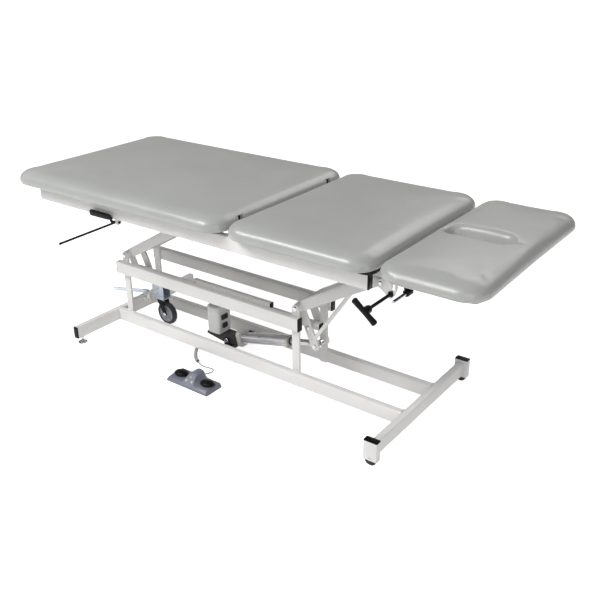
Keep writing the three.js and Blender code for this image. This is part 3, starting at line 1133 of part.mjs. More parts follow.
// Channel that carries the stem, the swivel fork under it and the wheel
function addCarriage() {
  const wheelZ = CASTER_WHEEL_RADIUS + CASTER_LIFT;
  const channelLow = FORK_PLATE_Z + SEAT + CARRIAGE_WALL / 2;
  const height = CARRIAGE_TOP - channelLow;
  const outer = bar(CARRIAGE_DEPTH, CARRIAGE_WIDTH, height);
  const innerWidth = CARRIAGE_WIDTH - 2 * CARRIAGE_WALL;
  const inner = bar(CARRIAGE_DEPTH, innerWidth, height, CARRIAGE_WALL, 0, CARRIAGE_WALL);
  const stemBore = pinAlongZ(CASTER_STEM_RADIUS + RUNNING, 4 * CARRIAGE_WALL, 0, 0, -height / 2);
  add('caster_carriage', cut(outer, inner, stemBore), paleGrey, casterStemX, 0, channelLow + height / 2);

  const wheelX = casterStemX + CASTER_TRAIL;
  const cheekY = CASTER_WHEEL_WIDTH / 2 + FORK_GAP + FORK_THICKNESS / 2;
  const crownRadius = cheekY + FORK_THICKNESS * 2;
  const pieces = [
    pinAlongZ(crownRadius, 2 * FORK_THICKNESS, 0, 0, FORK_PLATE_Z - FORK_THICKNESS, 24),
    pinAlongZ(CASTER_STEM_RADIUS, 6 * FORK_THICKNESS, 0, 0, FORK_PLATE_Z + 2 * FORK_THICKNESS, 12),
    pinAlongY(ROLLER_AXLE_RADIUS, 2 * cheekY + FORK_THICKNESS + OVERRUN, CASTER_TRAIL, 0, wheelZ, 14),
  ];
  for (const sign of [-1, 1]) {
    const cheek = new THREE.Shape();
    const top = FORK_PLATE_Z - FORK_THICKNESS;
    cheek.moveTo(-crownRadius / 1.4, top);
    cheek.lineTo(crownRadius / 1.2, top);
    cheek.lineTo(CASTER_TRAIL + ROLLER_AXLE_RADIUS * 2, wheelZ);
    cheek.absarc(CASTER_TRAIL, wheelZ, ROLLER_AXLE_RADIUS * 2, 0, -Math.PI, true);
    cheek.closePath();
    pieces.push(upright(prism(cheek, FORK_THICKNESS, 6)).translate(0, sign * cheekY, 0));
  }
  const wheelRoom = pinAlongY(CASTER_WHEEL_RADIUS + OVERRUN, CASTER_WHEEL_WIDTH + 2 * FORK_GAP - SEAT,
    CASTER_TRAIL, 0, wheelZ, 32);
  const axle = pinAlongY(ROLLER_AXLE_RADIUS, 2 * cheekY, CASTER_TRAIL, 0, wheelZ, 14);
  add('caster_fork', join(cut(join(...pieces), wheelRoom), axle), steel, casterStemX, 0, 0);

  const half = CASTER_WHEEL_WIDTH / 2;
  const edge = CASTER_WHEEL_WIDTH / 4;
  const bore = ROLLER_AXLE_RADIUS + RUNNING;
  const hub = CASTER_WHEEL_RADIUS * 0.3;
  const rim = CASTER_WHEEL_RADIUS * 0.72;
  const dish = CASTER_WHEEL_WIDTH / 5;
  const profile = [
    [bore, -half], [hub, -half], [hub + dish, -half + dish], [rim - dish, -half + dish],
    [rim, -half + dish / 3], [CASTER_WHEEL_RADIUS - edge, -half + dish / 3],
    [CASTER_WHEEL_RADIUS - edge / 4, -half + edge],
    [CASTER_WHEEL_RADIUS, 0], [CASTER_WHEEL_RADIUS - edge / 4, half - edge],
    [CASTER_WHEEL_RADIUS - edge, half - dish / 3], [rim, half - dish / 3], [rim - dish, half - dish],
    [hub + dish, half - dish], [hub, half], [bore, half], [bore, -half],
  ].map(([r, y]) => new THREE.Vector2(r, y));
  add('caster_wheel', new THREE.LatheGeometry(profile, 28), tread, wheelX, 0, wheelZ);
}

// Foot switch with two pedals

function addFootSwitch() {
  const middle = SWITCH_LEFT + SWITCH_LENGTH / 2;
  const centreY = SWITCH_FRONT + SWITCH_DEPTH / 2;
  // Side view along X: flat wings under the pedals and a hump between them
  const shape = new THREE.Shape();
  const half = SWITCH_LENGTH / 2;
  const hump = SWITCH_HUMP_LENGTH / 2;
  const skirt = SWITCH_TRAY_HEIGHT / 2;
  shape.moveTo(-half, 0);
  shape.lineTo(half, 0);
  shape.lineTo(half - skirt, SWITCH_TRAY_HEIGHT);
  shape.lineTo(hump * 1.6, SWITCH_TRAY_HEIGHT);
  shape.quadraticCurveTo(hump, SWITCH_TRAY_HEIGHT, hump * 0.8, SWITCH_HUMP_HEIGHT * 0.86);
  shape.quadraticCurveTo(0, SWITCH_HUMP_HEIGHT * 1.14, -hump * 0.8, SWITCH_HUMP_HEIGHT * 0.86);
  shape.quadraticCurveTo(-hump, SWITCH_TRAY_HEIGHT, -hump * 1.6, SWITCH_TRAY_HEIGHT);
  shape.lineTo(-half + skirt, SWITCH_TRAY_HEIGHT);
  shape.closePath();
  const body = upright(prism(shape, SWITCH_DEPTH, 5));
  // Wedge that slopes the front down
  const slope = new THREE.Shape();
  const front = -SWITCH_DEPTH / 2;
  slope.moveTo(front - OVERRUN, SWITCH_TRAY_HEIGHT / 4);
  slope.lineTo(front, SWITCH_TRAY_HEIGHT / 2);
  slope.lineTo(-front / 4, SWITCH_HUMP_HEIGHT + OVERRUN);
  slope.lineTo(front - OVERRUN, SWITCH_HUMP_HEIGHT + OVERRUN);
  slope.closePath();
  const wedge = prism(slope, SWITCH_LENGTH + 2 * OVERRUN).rotateX(Math.PI / 2).rotateZ(Math.PI / 2);
  const pedalX = SWITCH_LENGTH / 2 - PEDAL_LENGTH / 2 - PEDAL_GAP * 2;
  // Low ridges that the pedals rock on
  const ridgeLow = SWITCH_TRAY_HEIGHT - PEDAL_RIDGE_DEPTH;
  const ridgeHeight = SWITCH_TRAY_HEIGHT + PEDAL_GAP - SEAT - ridgeLow;
  const ridges = [-1, 1].map((sign) => bar(PEDAL_RIDGE_LENGTH, PEDAL_RIDGE_DEPTH, ridgeHeight, sign * pedalX,
    PEDAL_GAP + PEDAL_RIDGE_OFFSET, ridgeLow + ridgeHeight / 2));
  add('switch_housing', join(cut(body, wedge), ...ridges), switchBlue, middle, centreY, 0);

  for (const [name, sign] of [['pedal_left', -1], ['pedal_right', 1]]) {
    const x = middle + sign * pedalX;
    const dome = new THREE.SphereGeometry(PEDAL_LENGTH / 2, 18, 10);
    dome.scale(1, PEDAL_WIDTH / PEDAL_LENGTH, (2 * PEDAL_HEIGHT) / PEDAL_LENGTH);
    const floorCut = bar(2 * PEDAL_LENGTH, 2 * PEDAL_LENGTH, PEDAL_LENGTH, 0, 0, -PEDAL_LENGTH / 2);
    const pedal = cut(dome, floorCut);
    add(name, pedal, blackPlastic, x, centreY + PEDAL_GAP, SWITCH_TRAY_HEIGHT + PEDAL_GAP);
  }
  addCable();
}

// A thick sleeve from under the front base rail, then a thin cable along the floor to the switch's back
function addCable() {
  const sleeve = SLEEVE_ROUTE.map((point) => new THREE.Vector3(...point));
  const sleeveCurve = new THREE.CatmullRomCurve3(sleeve);
  const round = new THREE.Shape();
  round.absarc(0, 0, SLEEVE_RADIUS, 0, Math.PI * 2);
  const sleeveSteps = { extrudePath: sleeveCurve, steps: 10, curveSegments: 5 };
  add('switch_sleeve', new THREE.ExtrudeGeometry(round, sleeveSteps), cableGrey);
  const cable = CABLE_ROUTE.map((point) => new THREE.Vector3(...point));
  const cableCurve = new THREE.CatmullRomCurve3(cable);
  const wire = new THREE.Shape();
  wire.absarc(0, 0, CABLE_RADIUS, 0, Math.PI * 2);
  const cableSteps = { extrudePath: cableCurve, steps: 26, curveSegments: 4 };
  add('switch_cable', new THREE.ExtrudeGeometry(wire, cableSteps), cableGrey);
}

addBase();
addInnerBar();
addLift();
addActuator();
addTopFrame();
addSections();
addReleaseLever();
addCaster();
addFootSwitch();

export default table;
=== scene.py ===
import math

import bmesh
import bpy
from mathutils import Matrix, Vector, noise
from mathutils.geometry import tessellate_polygon


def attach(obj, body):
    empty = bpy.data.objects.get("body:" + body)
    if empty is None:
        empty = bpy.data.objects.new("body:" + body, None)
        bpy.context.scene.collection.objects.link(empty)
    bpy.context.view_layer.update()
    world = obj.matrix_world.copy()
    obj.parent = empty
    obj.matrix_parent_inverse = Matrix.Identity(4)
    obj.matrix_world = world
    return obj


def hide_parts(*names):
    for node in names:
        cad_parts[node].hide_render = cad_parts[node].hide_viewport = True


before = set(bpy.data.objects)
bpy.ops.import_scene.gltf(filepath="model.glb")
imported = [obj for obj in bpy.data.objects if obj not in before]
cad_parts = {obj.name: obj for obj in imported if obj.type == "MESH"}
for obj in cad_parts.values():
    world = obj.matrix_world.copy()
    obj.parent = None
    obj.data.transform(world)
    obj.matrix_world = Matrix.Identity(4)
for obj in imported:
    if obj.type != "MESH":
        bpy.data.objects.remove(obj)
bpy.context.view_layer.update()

scene = bpy.context.scene

# Shapes are drawn in the part's own millimetres and brought to the row frame at the end
MM = 0.001
ROW_SHIFT_Y = 85.0
TO_ROW = Matrix.Scale(MM, 4) @ Matrix.Translation((0, ROW_SHIFT_Y, 0))
X_AXIS, Y_AXIS, Z_AXIS = (1, 0, 0), (0, 1, 0), (0, 0, 1)
SIDES = (("front", -1), ("back", 1))

# Camera
CAMERA_PLACE = (1.6495, -1.9799, 1.5114)
CAMERA_YAW = math.radians(36.532)
CAMERA_PITCH = math.radians(25.075)
CAMERA_ROLL = math.radians(-0.45)
CAMERA_LENS = 47.2206
CAMERA_SENSOR = 36.0


def add_camera():
    data = bpy.data.cameras.new("photo_camera")
    data.lens = CAMERA_LENS
    data.sensor_width = CAMERA_SENSOR
    camera = bpy.data.objects.new("photo_camera", data)
    scene.collection.objects.link(camera)
    yaw, pitch, roll = CAMERA_YAW, CAMERA_PITCH, CAMERA_ROLL
    forward = Vector((-math.sin(yaw) * math.cos(pitch), math.cos(yaw) * math.cos(pitch), -math.sin(pitch)))
    right = Vector((math.cos(yaw), math.sin(yaw), 0))
    up = right.cross(forward)
    turned_right = math.cos(roll) * right + math.sin(roll) * up
    turned_up = -math.sin(roll) * right + math.cos(roll) * up
    axes = Matrix((turned_right, turned_up, -forward)).transposed()
    camera.matrix_world = Matrix.Translation(CAMERA_PLACE) @ axes.to_4x4()
    scene.camera = camera


add_camera()
scene.view_settings.view_transform = "Standard"


# Materials
def fill_inputs(tree, node, inputs):
    """Sets each input to a number, or links it to another node's output."""
    for key, value in inputs.items():
        if isinstance(value, bpy.types.NodeSocket):
            tree.links.new(value, node.inputs[key])
        elif value is not None:
            node.inputs[key].default_value = value


def add_node(tree, kind, output, inputs, **settings):
    node = tree.nodes.new(kind)
    for key, value in settings.items():
        setattr(node, key, value)
    fill_inputs(tree, node, inputs)
    return node.outputs[output]


class Nodes:
    """Short calls for building one material's node tree."""

    def __init__(self, name):
        self.material = bpy.data.materials.new(name)
        self.material.use_nodes = True
        self.tree = self.material.node_tree
        self.place = self.add("TexCoord", "Object", {})

    def add(self, kind, output, inputs, **settings):
        return add_node(self.tree, "ShaderNode" + kind, output, inputs, **settings)

    def noise(self, scale, detail=3.0, stretch=None):
        place = self.place
        if stretch:
            place = self.add("Mapping", "Vector", {"Scale": stretch, "Vector": place})
        return self.add("TexNoise", "Fac", {"Scale": scale, "Detail": detail, "Vector": place})

    def cells(self, scale, feature="F1", output="Distance"):
        return self.add("TexVoronoi", output, {"Scale": scale, "Vector": self.place}, feature=feature)

    def spread(self, value, low, high):
        return self.add("MapRange", "Result", {"Value": value, "From Min": 0.3, "From Max": 0.7, "To Min": low,
                                               "To Max": high})

    def colours(self, value, *stops):
        colour = self.add("ValToRGB", "Color", {"Fac": value})
        for element, (position, tint) in zip(colour.node.color_ramp.elements, stops):
            element.position = position
            element.color = (*tint, 1)
        return colour

    def bump(self, height, distance, strength=1.0, under=None):
        return self.add("Bump", "Normal", {"Distance": distance, "Strength": strength, "Height": height,
                                           "Normal": under})

    def finish(self, colour, rough, normal=None, **fixed):
        inputs = {"Base Color": colour, "Roughness": rough, "Normal": normal}
        inputs.update({key.replace("_", " "): value for key, value in fixed.items()})
        fill_inputs(self.tree, self.tree.nodes["Principled BSDF"], inputs)
        return self.material


def shaded(colour, share):
    return tuple(channel * share for channel in colour)


MOTTLE_SCALE, GLOSS_SCALE = 14.0, 126.0


def plain(name, colour, rough, mottle=0.94, grain=700.0, depth=0.00003, **fixed):
    """Painted or moulded surface: slow mottling of the colour, uneven gloss and a fine skin."""
    n = Nodes(name)
    tone = n.colours(n.noise(MOTTLE_SCALE, 4.0), (0.3, shaded(colour, mottle)), (0.7, colour))
    gloss = n.spread(n.noise(GLOSS_SCALE), rough * 0.85, rough * 1.2)
    return n.finish(tone, gloss, n.bump(n.noise(grain, 2.0), depth), **fixed)


def brushed(name, colour, rough, stretch):
    """Drawn or machined metal: long fine scratches along one axis."""
    n = Nodes(name)
    lines = n.noise(60.0, 5.0, stretch)
    tone = n.colours(lines, (0.3, shaded(colour, 0.8)), (0.75, colour))
    gloss = n.spread(lines, rough * 0.75, rough * 1.35)
    return n.finish(tone, gloss, n.bump(lines, 0.00002), Metallic=1.0)


def vinyl_material():
    """Pale grey coated fabric with pores, faint creases and a soft clear coat."""
    n = Nodes("vinyl")
    tone = n.colours(n.noise(5.0), (0.3, (0.400, 0.408, 0.394)), (0.7, (0.437, 0.445, 0.429)))
    skin = n.bump(n.noise(210.0, 4.0), 0.00006, 0.6)
    skin = n.bump(n.cells(620.0, "SMOOTH_F1"), 0.00010, 0.55, skin)
    gloss = n.spread(n.noise(45.0, 4.0), 0.33, 0.41)
    return n.finish(tone, gloss, skin, Specular_IOR_Level=0.62, Coat_Weight=0.3, Coat_Roughness=0.24)


def zinc_material():
    """Plated steel with its patchwork of crystals."""
    n = Nodes("zinc")
    spangle = n.colours(n.cells(130.0, output="Color"), (0.2, (0.50, 0.56, 0.64)), (0.8, (0.66, 0.71, 0.77)))
    gloss = n.spread(n.noise(160.0), 0.28, 0.46)
    return n.finish(spangle, gloss, n.bump(n.noise(380.0, 2.0), 0.00003), Metallic=0.85)


PAINT = plain("painted_steel", (0.85, 0.838, 0.82), 0.34, 0.965, 850.0, 0.000035, Coat_Weight=0.15)
BLACK_PAINT = plain("black_steel", (0.010, 0.0095, 0.0095), 0.5, 0.8, Specular_IOR_Level=0.2)
BLACK = plain("black_plastic", (0.005, 0.005, 0.005), 0.42, 0.75, 1100.0, 0.00004, Specular_IOR_Level=0.16)
PALE = plain("pale_plastic", (0.66, 0.66, 0.65), 0.45, 0.94, 1000.0)
DARK = plain("dark_plastic", (0.045, 0.042, 0.042), 0.5, 0.8, 900.0, 0.00005, Specular_IOR_Level=0.35)
BEIGE = plain("beige_plastic", (0.50, 0.475, 0.44), 0.45, 0.92)
SWITCH = plain("switch_plastic", (0.205, 0.215, 0.27), 0.42, 0.9, 1000.0, 0.00005)
LABEL = plain("pale_inlay", (0.62, 0.60, 0.56), 0.5, 0.9)
JACKET = plain("cable_jacket", (0.36, 0.36, 0.355), 0.5, 0.9)
RUBBER = plain("tread", (0.02, 0.02, 0.023), 0.62, 0.75, 600.0, 0.00006)
HUB = plain("wheel_hub", (0.30, 0.31, 0.34), 0.42, 0.88)
STEEL = brushed("bright_steel", (0.62, 0.63, 0.66), 0.2, (1.0, 0.05, 1.0))
ALLOY = brushed("anodised", (0.66, 0.65, 0.68), 0.32, (0.03, 1.0, 1.0))
ZINC = zinc_material()
VINYL = vinyl_material()


# Outlines
def mirrored(profile):
    """A turned profile drawn below height 0, with its reflection above."""
    return profile + [(radius, -height) for radius, height in reversed(profile)]


def frame_axes(direction, up=None):
    w = Vector(direction).normalized()
    hint = Vector(up) if up is not None else Vector(Z_AXIS if abs(w.z) < 0.9 else X_AXIS)
    u = hint.cross(w).normalized()
    return u, w.cross(u), w


def arc_points(cx, cy, radius, start, end, steps=12):
    angles = [math.radians(start + (end - start) * i / steps) for i in range(steps + 1)]
    return [(cx + radius * math.cos(a), cy + radius * math.sin(a)) for a in angles]


def circle(x, z, radius, steps=24):
    return arc_points(x, z, radius, 0, 360, steps)[:-1]


def rounded_rect(width, height, radius, steps=4):
    x, y = width / 2 - radius, height / 2 - radius
    points = []
    for sx, sy, start in ((1, -1, -90), (1, 1, 0), (-1, 1, 90), (-1, -1, 180)):
        points += arc_points(sx * x, sy * y, radius, start, start + 90, steps)
    return points


def link_outline(x0, z0, x1, z1, width):
    angle = math.degrees(math.atan2(z1 - z0, x1 - x0))
    r = width / 2
    return arc_points(x0, z0, r, angle + 90, angle + 270) + arc_points(x1, z1, r, angle - 90, angle + 90)


def bend(a, b, c, count):
    """Points after a on the quadratic curve from a to c that b pulls."""
    shares = [i / count for i in range(1, count + 1)]
    return [tuple((1 - t) ** 2 * p + 2 * (1 - t) * t * q + t * t * r for p, q, r in zip(a, b, c)) for t in shares]


def round_angles(steps):
    return [2 * math.pi * i / steps for i in range(steps)]


def ring_line(centre, u, v, radius, steps):
    """A ring about centre in the plane of u and v, its first point repeated at the end."""
    return [[c + radius * (p * math.cos(t) + q * math.sin(t)) for c, p, q in zip(centre, u, v)]
            for t in [*round_angles(steps), 0.0]]


def tapered(radius, start, rate):
    """A sweep's radius, which rises from the share start at both of its ends."""
    return lambda share: radius * min(1.0, start + rate * share, start + rate * (1 - share))


# Mesh building
def connect(bm, rings, loop=False):
    """Quads between successive rings of the same count; a ring of one vertex is a pole."""
    pairs = list(zip(rings, rings[1:]))
    if loop:
        pairs.append((rings[-1], rings[0]))
    for a, b in pairs:
        count = max(len(a), len(b))
        for i in range(count):
            j = (i + 1) % count
            corners = []
            for vertex in (a[i % len(a)], a[j % len(a)], b[j % len(b)], b[i % len(b)]):
                if vertex not in corners:
                    corners.append(vertex)
            if len(corners) > 2:
                bm.faces.new(corners)


def ring_of(bm, points):
    return [bm.verts.new(p) for p in points]


def closed(bm, rings):
    """Connects the rings and shuts both ends."""
    connect(bm, rings)
    bm.faces.new(list(reversed(rings[0])))
    bm.faces.new(rings[-1])


def loft(bm, outlines):
    closed(bm, [ring_of(bm, points) for points in outlines])


def stack(bm, place, sections, steps=4):
    """Rounded-rectangle sections (height, width, depth, corner), each point set by place(height, a, b)."""
    loft(bm, [[place(h, a, b) for a, b in rounded_rect(w, d, corner, steps)] for h, w, d, corner in sections])


def tube(bm, start, end, width, depth, corner=4.0, wall=2.0, up=Z_AXIS):
    """Open rectangular tube; width is across, depth is along up."""
    a, b = Vector(start), Vector(end)
    u, v, _ = frame_axes(b - a, up)
    outer = rounded_rect(width, depth, corner)
    inner = rounded_rect(width - 2 * wall, depth - 2 * wall, max(corner - wall, 0.6))
    ends = ((a, outer), (b, outer), (b, inner), (a, inner))
    connect(bm, [ring_of(bm, [at + u * x + v * y for x, y in outline]) for at, outline in ends], loop=True)


def lathe(bm, profile, at, axis, segments=32):
    """Turns (radius, height) pairs about an axis; radius 0 closes on it."""
    u, v, w = frame_axes(axis)
    rings = []
    for radius, height in profile:
        centre = Vector(at) + w * height
        spokes = [(u * math.cos(t) + v * math.sin(t)) * radius for t in round_angles(segments)]
        rings.append(ring_of(bm, [centre + spoke for spoke in spokes] if radius else [centre]))
    connect(bm, rings, loop=profile[0][0] > 0 and profile[-1][0] > 0)


def cylinder(bm, start, end, radius, chamfer=0.6, segments=32):
    run = Vector(end) - Vector(start)
    length = run.length
    profile = [(0, 0), (radius - chamfer, 0), (radius, chamfer), (radius, length - chamfer),
               (radius - chamfer, length), (0, length)]
    lathe(bm, profile, start, run, segments)


def pin_y(bm, x, y, z, half, radius, chamfer=0.4, segments=24):
    cylinder(bm, (x, y - half, z), (x, y + half, z), radius, chamfer, segments)


def hexagon(bm, at, axis, across, height):
    radius = across / 2 / math.cos(math.pi / 6)
    lathe(bm, [(0, 0), (radius, 0), (radius, height * 0.82), (radius * 0.88, height), (0, height)], at, axis, 6)


def bolt_ends(bm, x, y, z, reach, across, height, washer, thread):
    """A bolt's ends along Y: a washer and head in front, a washer, nut and standing thread behind."""
    front, back = Vector((x, y - reach, z)), Vector((x, y + reach, z))
    way = Vector(Y_AXIS)
    cylinder(bm, front, front - way * 1.6, washer / 2, 0.4)
    hexagon(bm, front - way * 1.5, -way, across, height - 1.5)
    cylinder(bm, back, back + way * 1.4, across * 0.62, 0.4)
    hexagon(bm, back + way * 1.3, way, across, height * 0.68)
    cylinder(bm, back, back + way * height, thread * 0.92, 1.0, 20)


def plate(bm, outline, thickness, y, holes=()):
    """Flat plate drawn in XZ with its thickness along Y about y."""
    loops = [list(outline), *[list(hole) for hole in holes]]
    faces = tessellate_polygon([[Vector((x, z, 0)) for x, z in points] for points in loops])
    sides = [[[bm.verts.new((x, y + offset, z)) for x, z in points] for points in loops]
             for offset in (-thickness / 2, thickness / 2)]
    for index, side in enumerate(sides):
        corners = [vertex for points in side for vertex in points]
        for face in faces:
            picked = [corners[i] for i in face]
            bm.faces.new(list(reversed(picked)) if index else picked)
    for front, back in zip(*sides):
        connect(bm, [front, back])


def block(bm, low, high):
    x0, y0, z0 = low
    x1, y1, z1 = high
    loft(bm, [[(x0, y0, z), (x1, y0, z), (x1, y1, z), (x0, y1, z)] for z in (z0, z1)])


def sweep(bm, points, radius, segments=12):
    """Round section along points; radius is a number or a function of the share of the way along."""
    points = [Vector(p) for p in points]
    last = len(points) - 1
    side = None
    rings = []
    for i, point in enumerate(points):
        w = (points[min(i + 1, last)] - points[max(i - 1, 0)]).normalized()
        side = frame_axes(w)[0] if side is None else side
        side = (side - w * side.dot(w)).normalized()
        up = w.cross(side)
        r = radius(i / last) if callable(radius) else radius
        rings.append(ring_of(bm, [point + (side * math.cos(t) + up * math.sin(t)) * r
                                  for t in round_angles(segments)]))
    closed(bm, rings)


def resample(points, step):
    points = [Vector(p) for p in points]
    out = []
    for a, b in zip(points, points[1:]):
        count = max(1, round((b - a).length / step))
        out.extend(a.lerp(b, i / count) for i in range(count))
    return [*out, points[-1]]


def curve_through(points, per=8):
    """Centripetal Catmull-Rom line through the points, as the solids follow."""
    p = [Vector(q) for q in points]
    p = [2 * p[0] - p[1], *p, 2 * p[-1] - p[-2]]
    line = []
    for i in range(1, len(p) - 2):
        q = p[i - 1:i + 3]
        t = [0.0]
        for a, b in zip(q, q[1:]):
            t.append(t[-1] + math.sqrt((b - a).length))
        for k in range(per):
            at = t[1] + (t[2] - t[1]) * k / per
            near = [q[n].lerp(q[n + 1], (at - t[n]) / (t[n + 1] - t[n])) for n in range(3)]
            ends = [near[n].lerp(near[n + 1], (at - t[n]) / (t[n + 2] - t[n])) for n in range(2)]
            line.append(ends[0].lerp(ends[1], (at - t[1]) / (t[2] - t[1])))
    return [*line, p[-2]]


BEAD_STEP = 0.65
BEAD_ENDS = tapered(1.0, 0.35, 8)


def weld(bm, points, radius=2.0):
    """A rippled bead along a line."""
    line = resample(points, BEAD_STEP)

    def size(share):
        return radius * (0.86 + 0.14 * math.sin(2 * math.pi * share * len(line) / 4)) * BEAD_ENDS(share)

    sweep(bm, line, size, 8)


def weld_round(bm, at, axis, width, depth, radius=2.0):
    """A bead round a rectangular tube where it meets another."""
    u, v, _ = frame_axes(axis, Z_AXIS)
    loop = [Vector(at) + u * x + v * y for x, y in rounded_rect(width + 1, depth + 1, 4.0)]
    weld(bm, [*loop, loop[0]], radius)


EDGE_ANGLE = 35.0


class Piece:
    """One visible object, made in a with block: its material, the body it rides and the solids it replaces."""

    def __init__(self, name, material, body, *nodes, slot=None, bevel=0.0, segments=2, angle=EDGE_ANGLE):
        self.name, self.material, self.body, self.nodes = name, material, body, nodes
        self.slot = slot or material.name.split(".")[0]
        self.bevel, self.segments, self.angle = bevel, segments, angle

    def __enter__(self):
        self.bm = bmesh.new()
        return self.bm

    def __exit__(self, failure, *_):
        if failure:
            return
        bmesh.ops.remove_doubles(self.bm, verts=self.bm.verts, dist=0.0005)
        bmesh.ops.recalc_face_normals(self.bm, faces=self.bm.faces)
        self.object = placed(self.bm, self.name)
        mesh = self.object.data
        mesh.materials.append(self.material)
        mesh.polygons.foreach_set("use_smooth", [True] * len(mesh.polygons))
        mesh.set_sharp_from_angle(angle=math.radians(self.angle))
        if self.bevel:
            self.soften()
        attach(self.object, self.body)
        if self.nodes:
            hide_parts(*self.nodes)

    def soften(self):
        edges = self.object.modifiers.new("edges", "BEVEL")
        edges.width = self.bevel * MM
        edges.segments = self.segments
        edges.limit_method = "ANGLE"
        edges.angle_limit = math.radians(EDGE_ANGLE)
        edges.harden_normals = True
        edges.use_clamp_overlap = True


def placed(bm, name):
    """A new object of the row frame from a shape in millimetres."""
    bm.transform(TO_ROW)
    mesh = bpy.data.meshes.new(name)
    bm.to_mesh(mesh)
    bm.free()
    made = bpy.data.objects.new(name, mesh)
    scene.collection.objects.link(made)
    return made


def applied(piece):
    """The piece's mesh with its modifiers applied, which are then gone."""
    graph = bpy.context.evaluated_depsgraph_get()
    mesh = bpy.data.meshes.new_from_object(piece.evaluated_get(graph))
    piece.modifiers.clear()
    old = piece.data
    piece.data = mesh
    bpy.data.meshes.remove(old)


def subtract(piece, bm):
    """Cuts a shape in millimetres out of a piece."""
    bmesh.ops.recalc_face_normals(bm, faces=bm.faces)
    cutter = placed(bm, "cutter")
    boolean = piece.modifiers.new("cut", "BOOLEAN")
    boolean.operation = "DIFFERENCE"
    boolean.solver = "EXACT"
    boolean.object = cutter
    applied(piece)
    bpy.data.objects.remove(cutter)


# Sizes shared with the part's source, in millimetres
TUBE_W, TUBE_D, CROSS_D, SQUARE_W = 25.4, 50.8, 38.1, 25.4
GAP, CAP_GAP = 0.3, 0.2
RAIL_Y, RAIL_INNER = 103.5, 90.8
BASE_Z, MID_Z, MID_LEFT, MID_RIGHT = 53.4, 272.4, -725.0, 193.0
LEG_X, LEG_HALF, BAR_X, BAR_HALF = -756.0, 334.0, 626.0, 303.6
FOOT_Y, FOOT_LOW, FOOT_TOP, ROLLER_Z, GLIDE_Y = 316.0, 20.0, 88.0, 22.0, 309.0
POST_Y = 86.5
PIVOT_Z, RIGHT_X, LEFT_X = 321.0, 166.0, -700.0
ARM_L, ARM_A, ARM_D, ARM_Y, MECH_Y = 480.0, math.radians(30), 38.1, 58.0, -27.0
UPPER_Z = PIVOT_Z + ARM_L * math.sin(ARM_A)
ARM_RUN = ARM_L * math.cos(ARM_A)
TOP_Y, RAIL_TOP, TOP_LEFT, TOP_RIGHT = 308.8, 640.0, -871.0, 594.4
RAIL_MID_Z = RAIL_TOP - TUBE_D / 2
CROSS_Z = RAIL_TOP - CROSS_D / 2
LEVER_A, LEVER_L, TIE_L, TIE_HALF = math.radians(-66), 156.0, 83.0, 433.0
LEVER_Y, LEVER_T = 31.0, 8.0
CUSHION_LOW, CUSHION_T, HALF_W = 650.0, 57.0, 381.0
TABLE_END = 965.0
LONG_RIGHT, CENTRE_LEFT, CENTRE_RIGHT, HEAD_LEFT = 75.0, 81.0, 626.0, 632.0
HINGE_X, HINGE_Z, HINGE_Y, EAR_T = LONG_RIGHT - CUSHION_T / 2, 678.5, 250.0, 8.0
HEAD_X, HEAD_Z, CLAMP_X, CLAMP_Z = 620.0, 608.0, 655.0, 584.0
SLOT_LENGTH, SLOT_WIDTH, SLOT_MARGIN = 198.0, 68.0, 88.0
SLOT_X = TABLE_END - SLOT_MARGIN - SLOT_LENGTH / 2
PAN_INSET, PAN_END_INSET = 14.0, 30.0
ACT_X, ACT_Z, ACT_A, ACT_END = -190.0, 76.0, math.radians(13.729), 431.8

# Switch cable, the same route as the solids
SLEEVE_ROUTE = [
    (-314, -100, 20.7), (-308, -112, 20.6), (-297, -128, 17.5), (-283, -144, 12.5), (-268, -156, 9),
    (-254, -163, 8),
]
CABLE_ROUTE = [
    (-253, -163.4, 8), (-246, -166, 6.6), (-236, -169, 4), (-224, -171.5, 2.8), (-208, -171.5, 2.6),
    (-190, -168.5, 2.6), (-175, -168, 2.6), (-165, -173, 2.6), (-161, -183, 2.6), (-163, -196, 2.6),
    (-165.5, -208, 4), (-166, -219, 8), (-166, -229, 11), (-166, -236, 12), (-166, -241.6, 12),
]
SLEEVE_RADIUS, CABLE_RADIUS = 7.0, 2.4


def cord_curve(name, route, radius, node):
    points = [TO_ROW @ p for p in curve_through(route)]
    data = bpy.data.curves.new(name, "CURVE")
    data.dimensions = "3D"
    data.bevel_depth = radius * MM
    data.bevel_resolution = 5
    data.use_fill_caps = True
    spline = data.splines.new("POLY")
    spline.points.add(len(points) - 1)
    for target, point in zip(spline.points, points):
        target.co = (*point, 1)
    data.materials.append(JACKET)
    piece = bpy.data.objects.new(name, data)
    scene.collection.objects.link(piece)
    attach(piece, "base")
    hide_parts(node)
    return piece, points


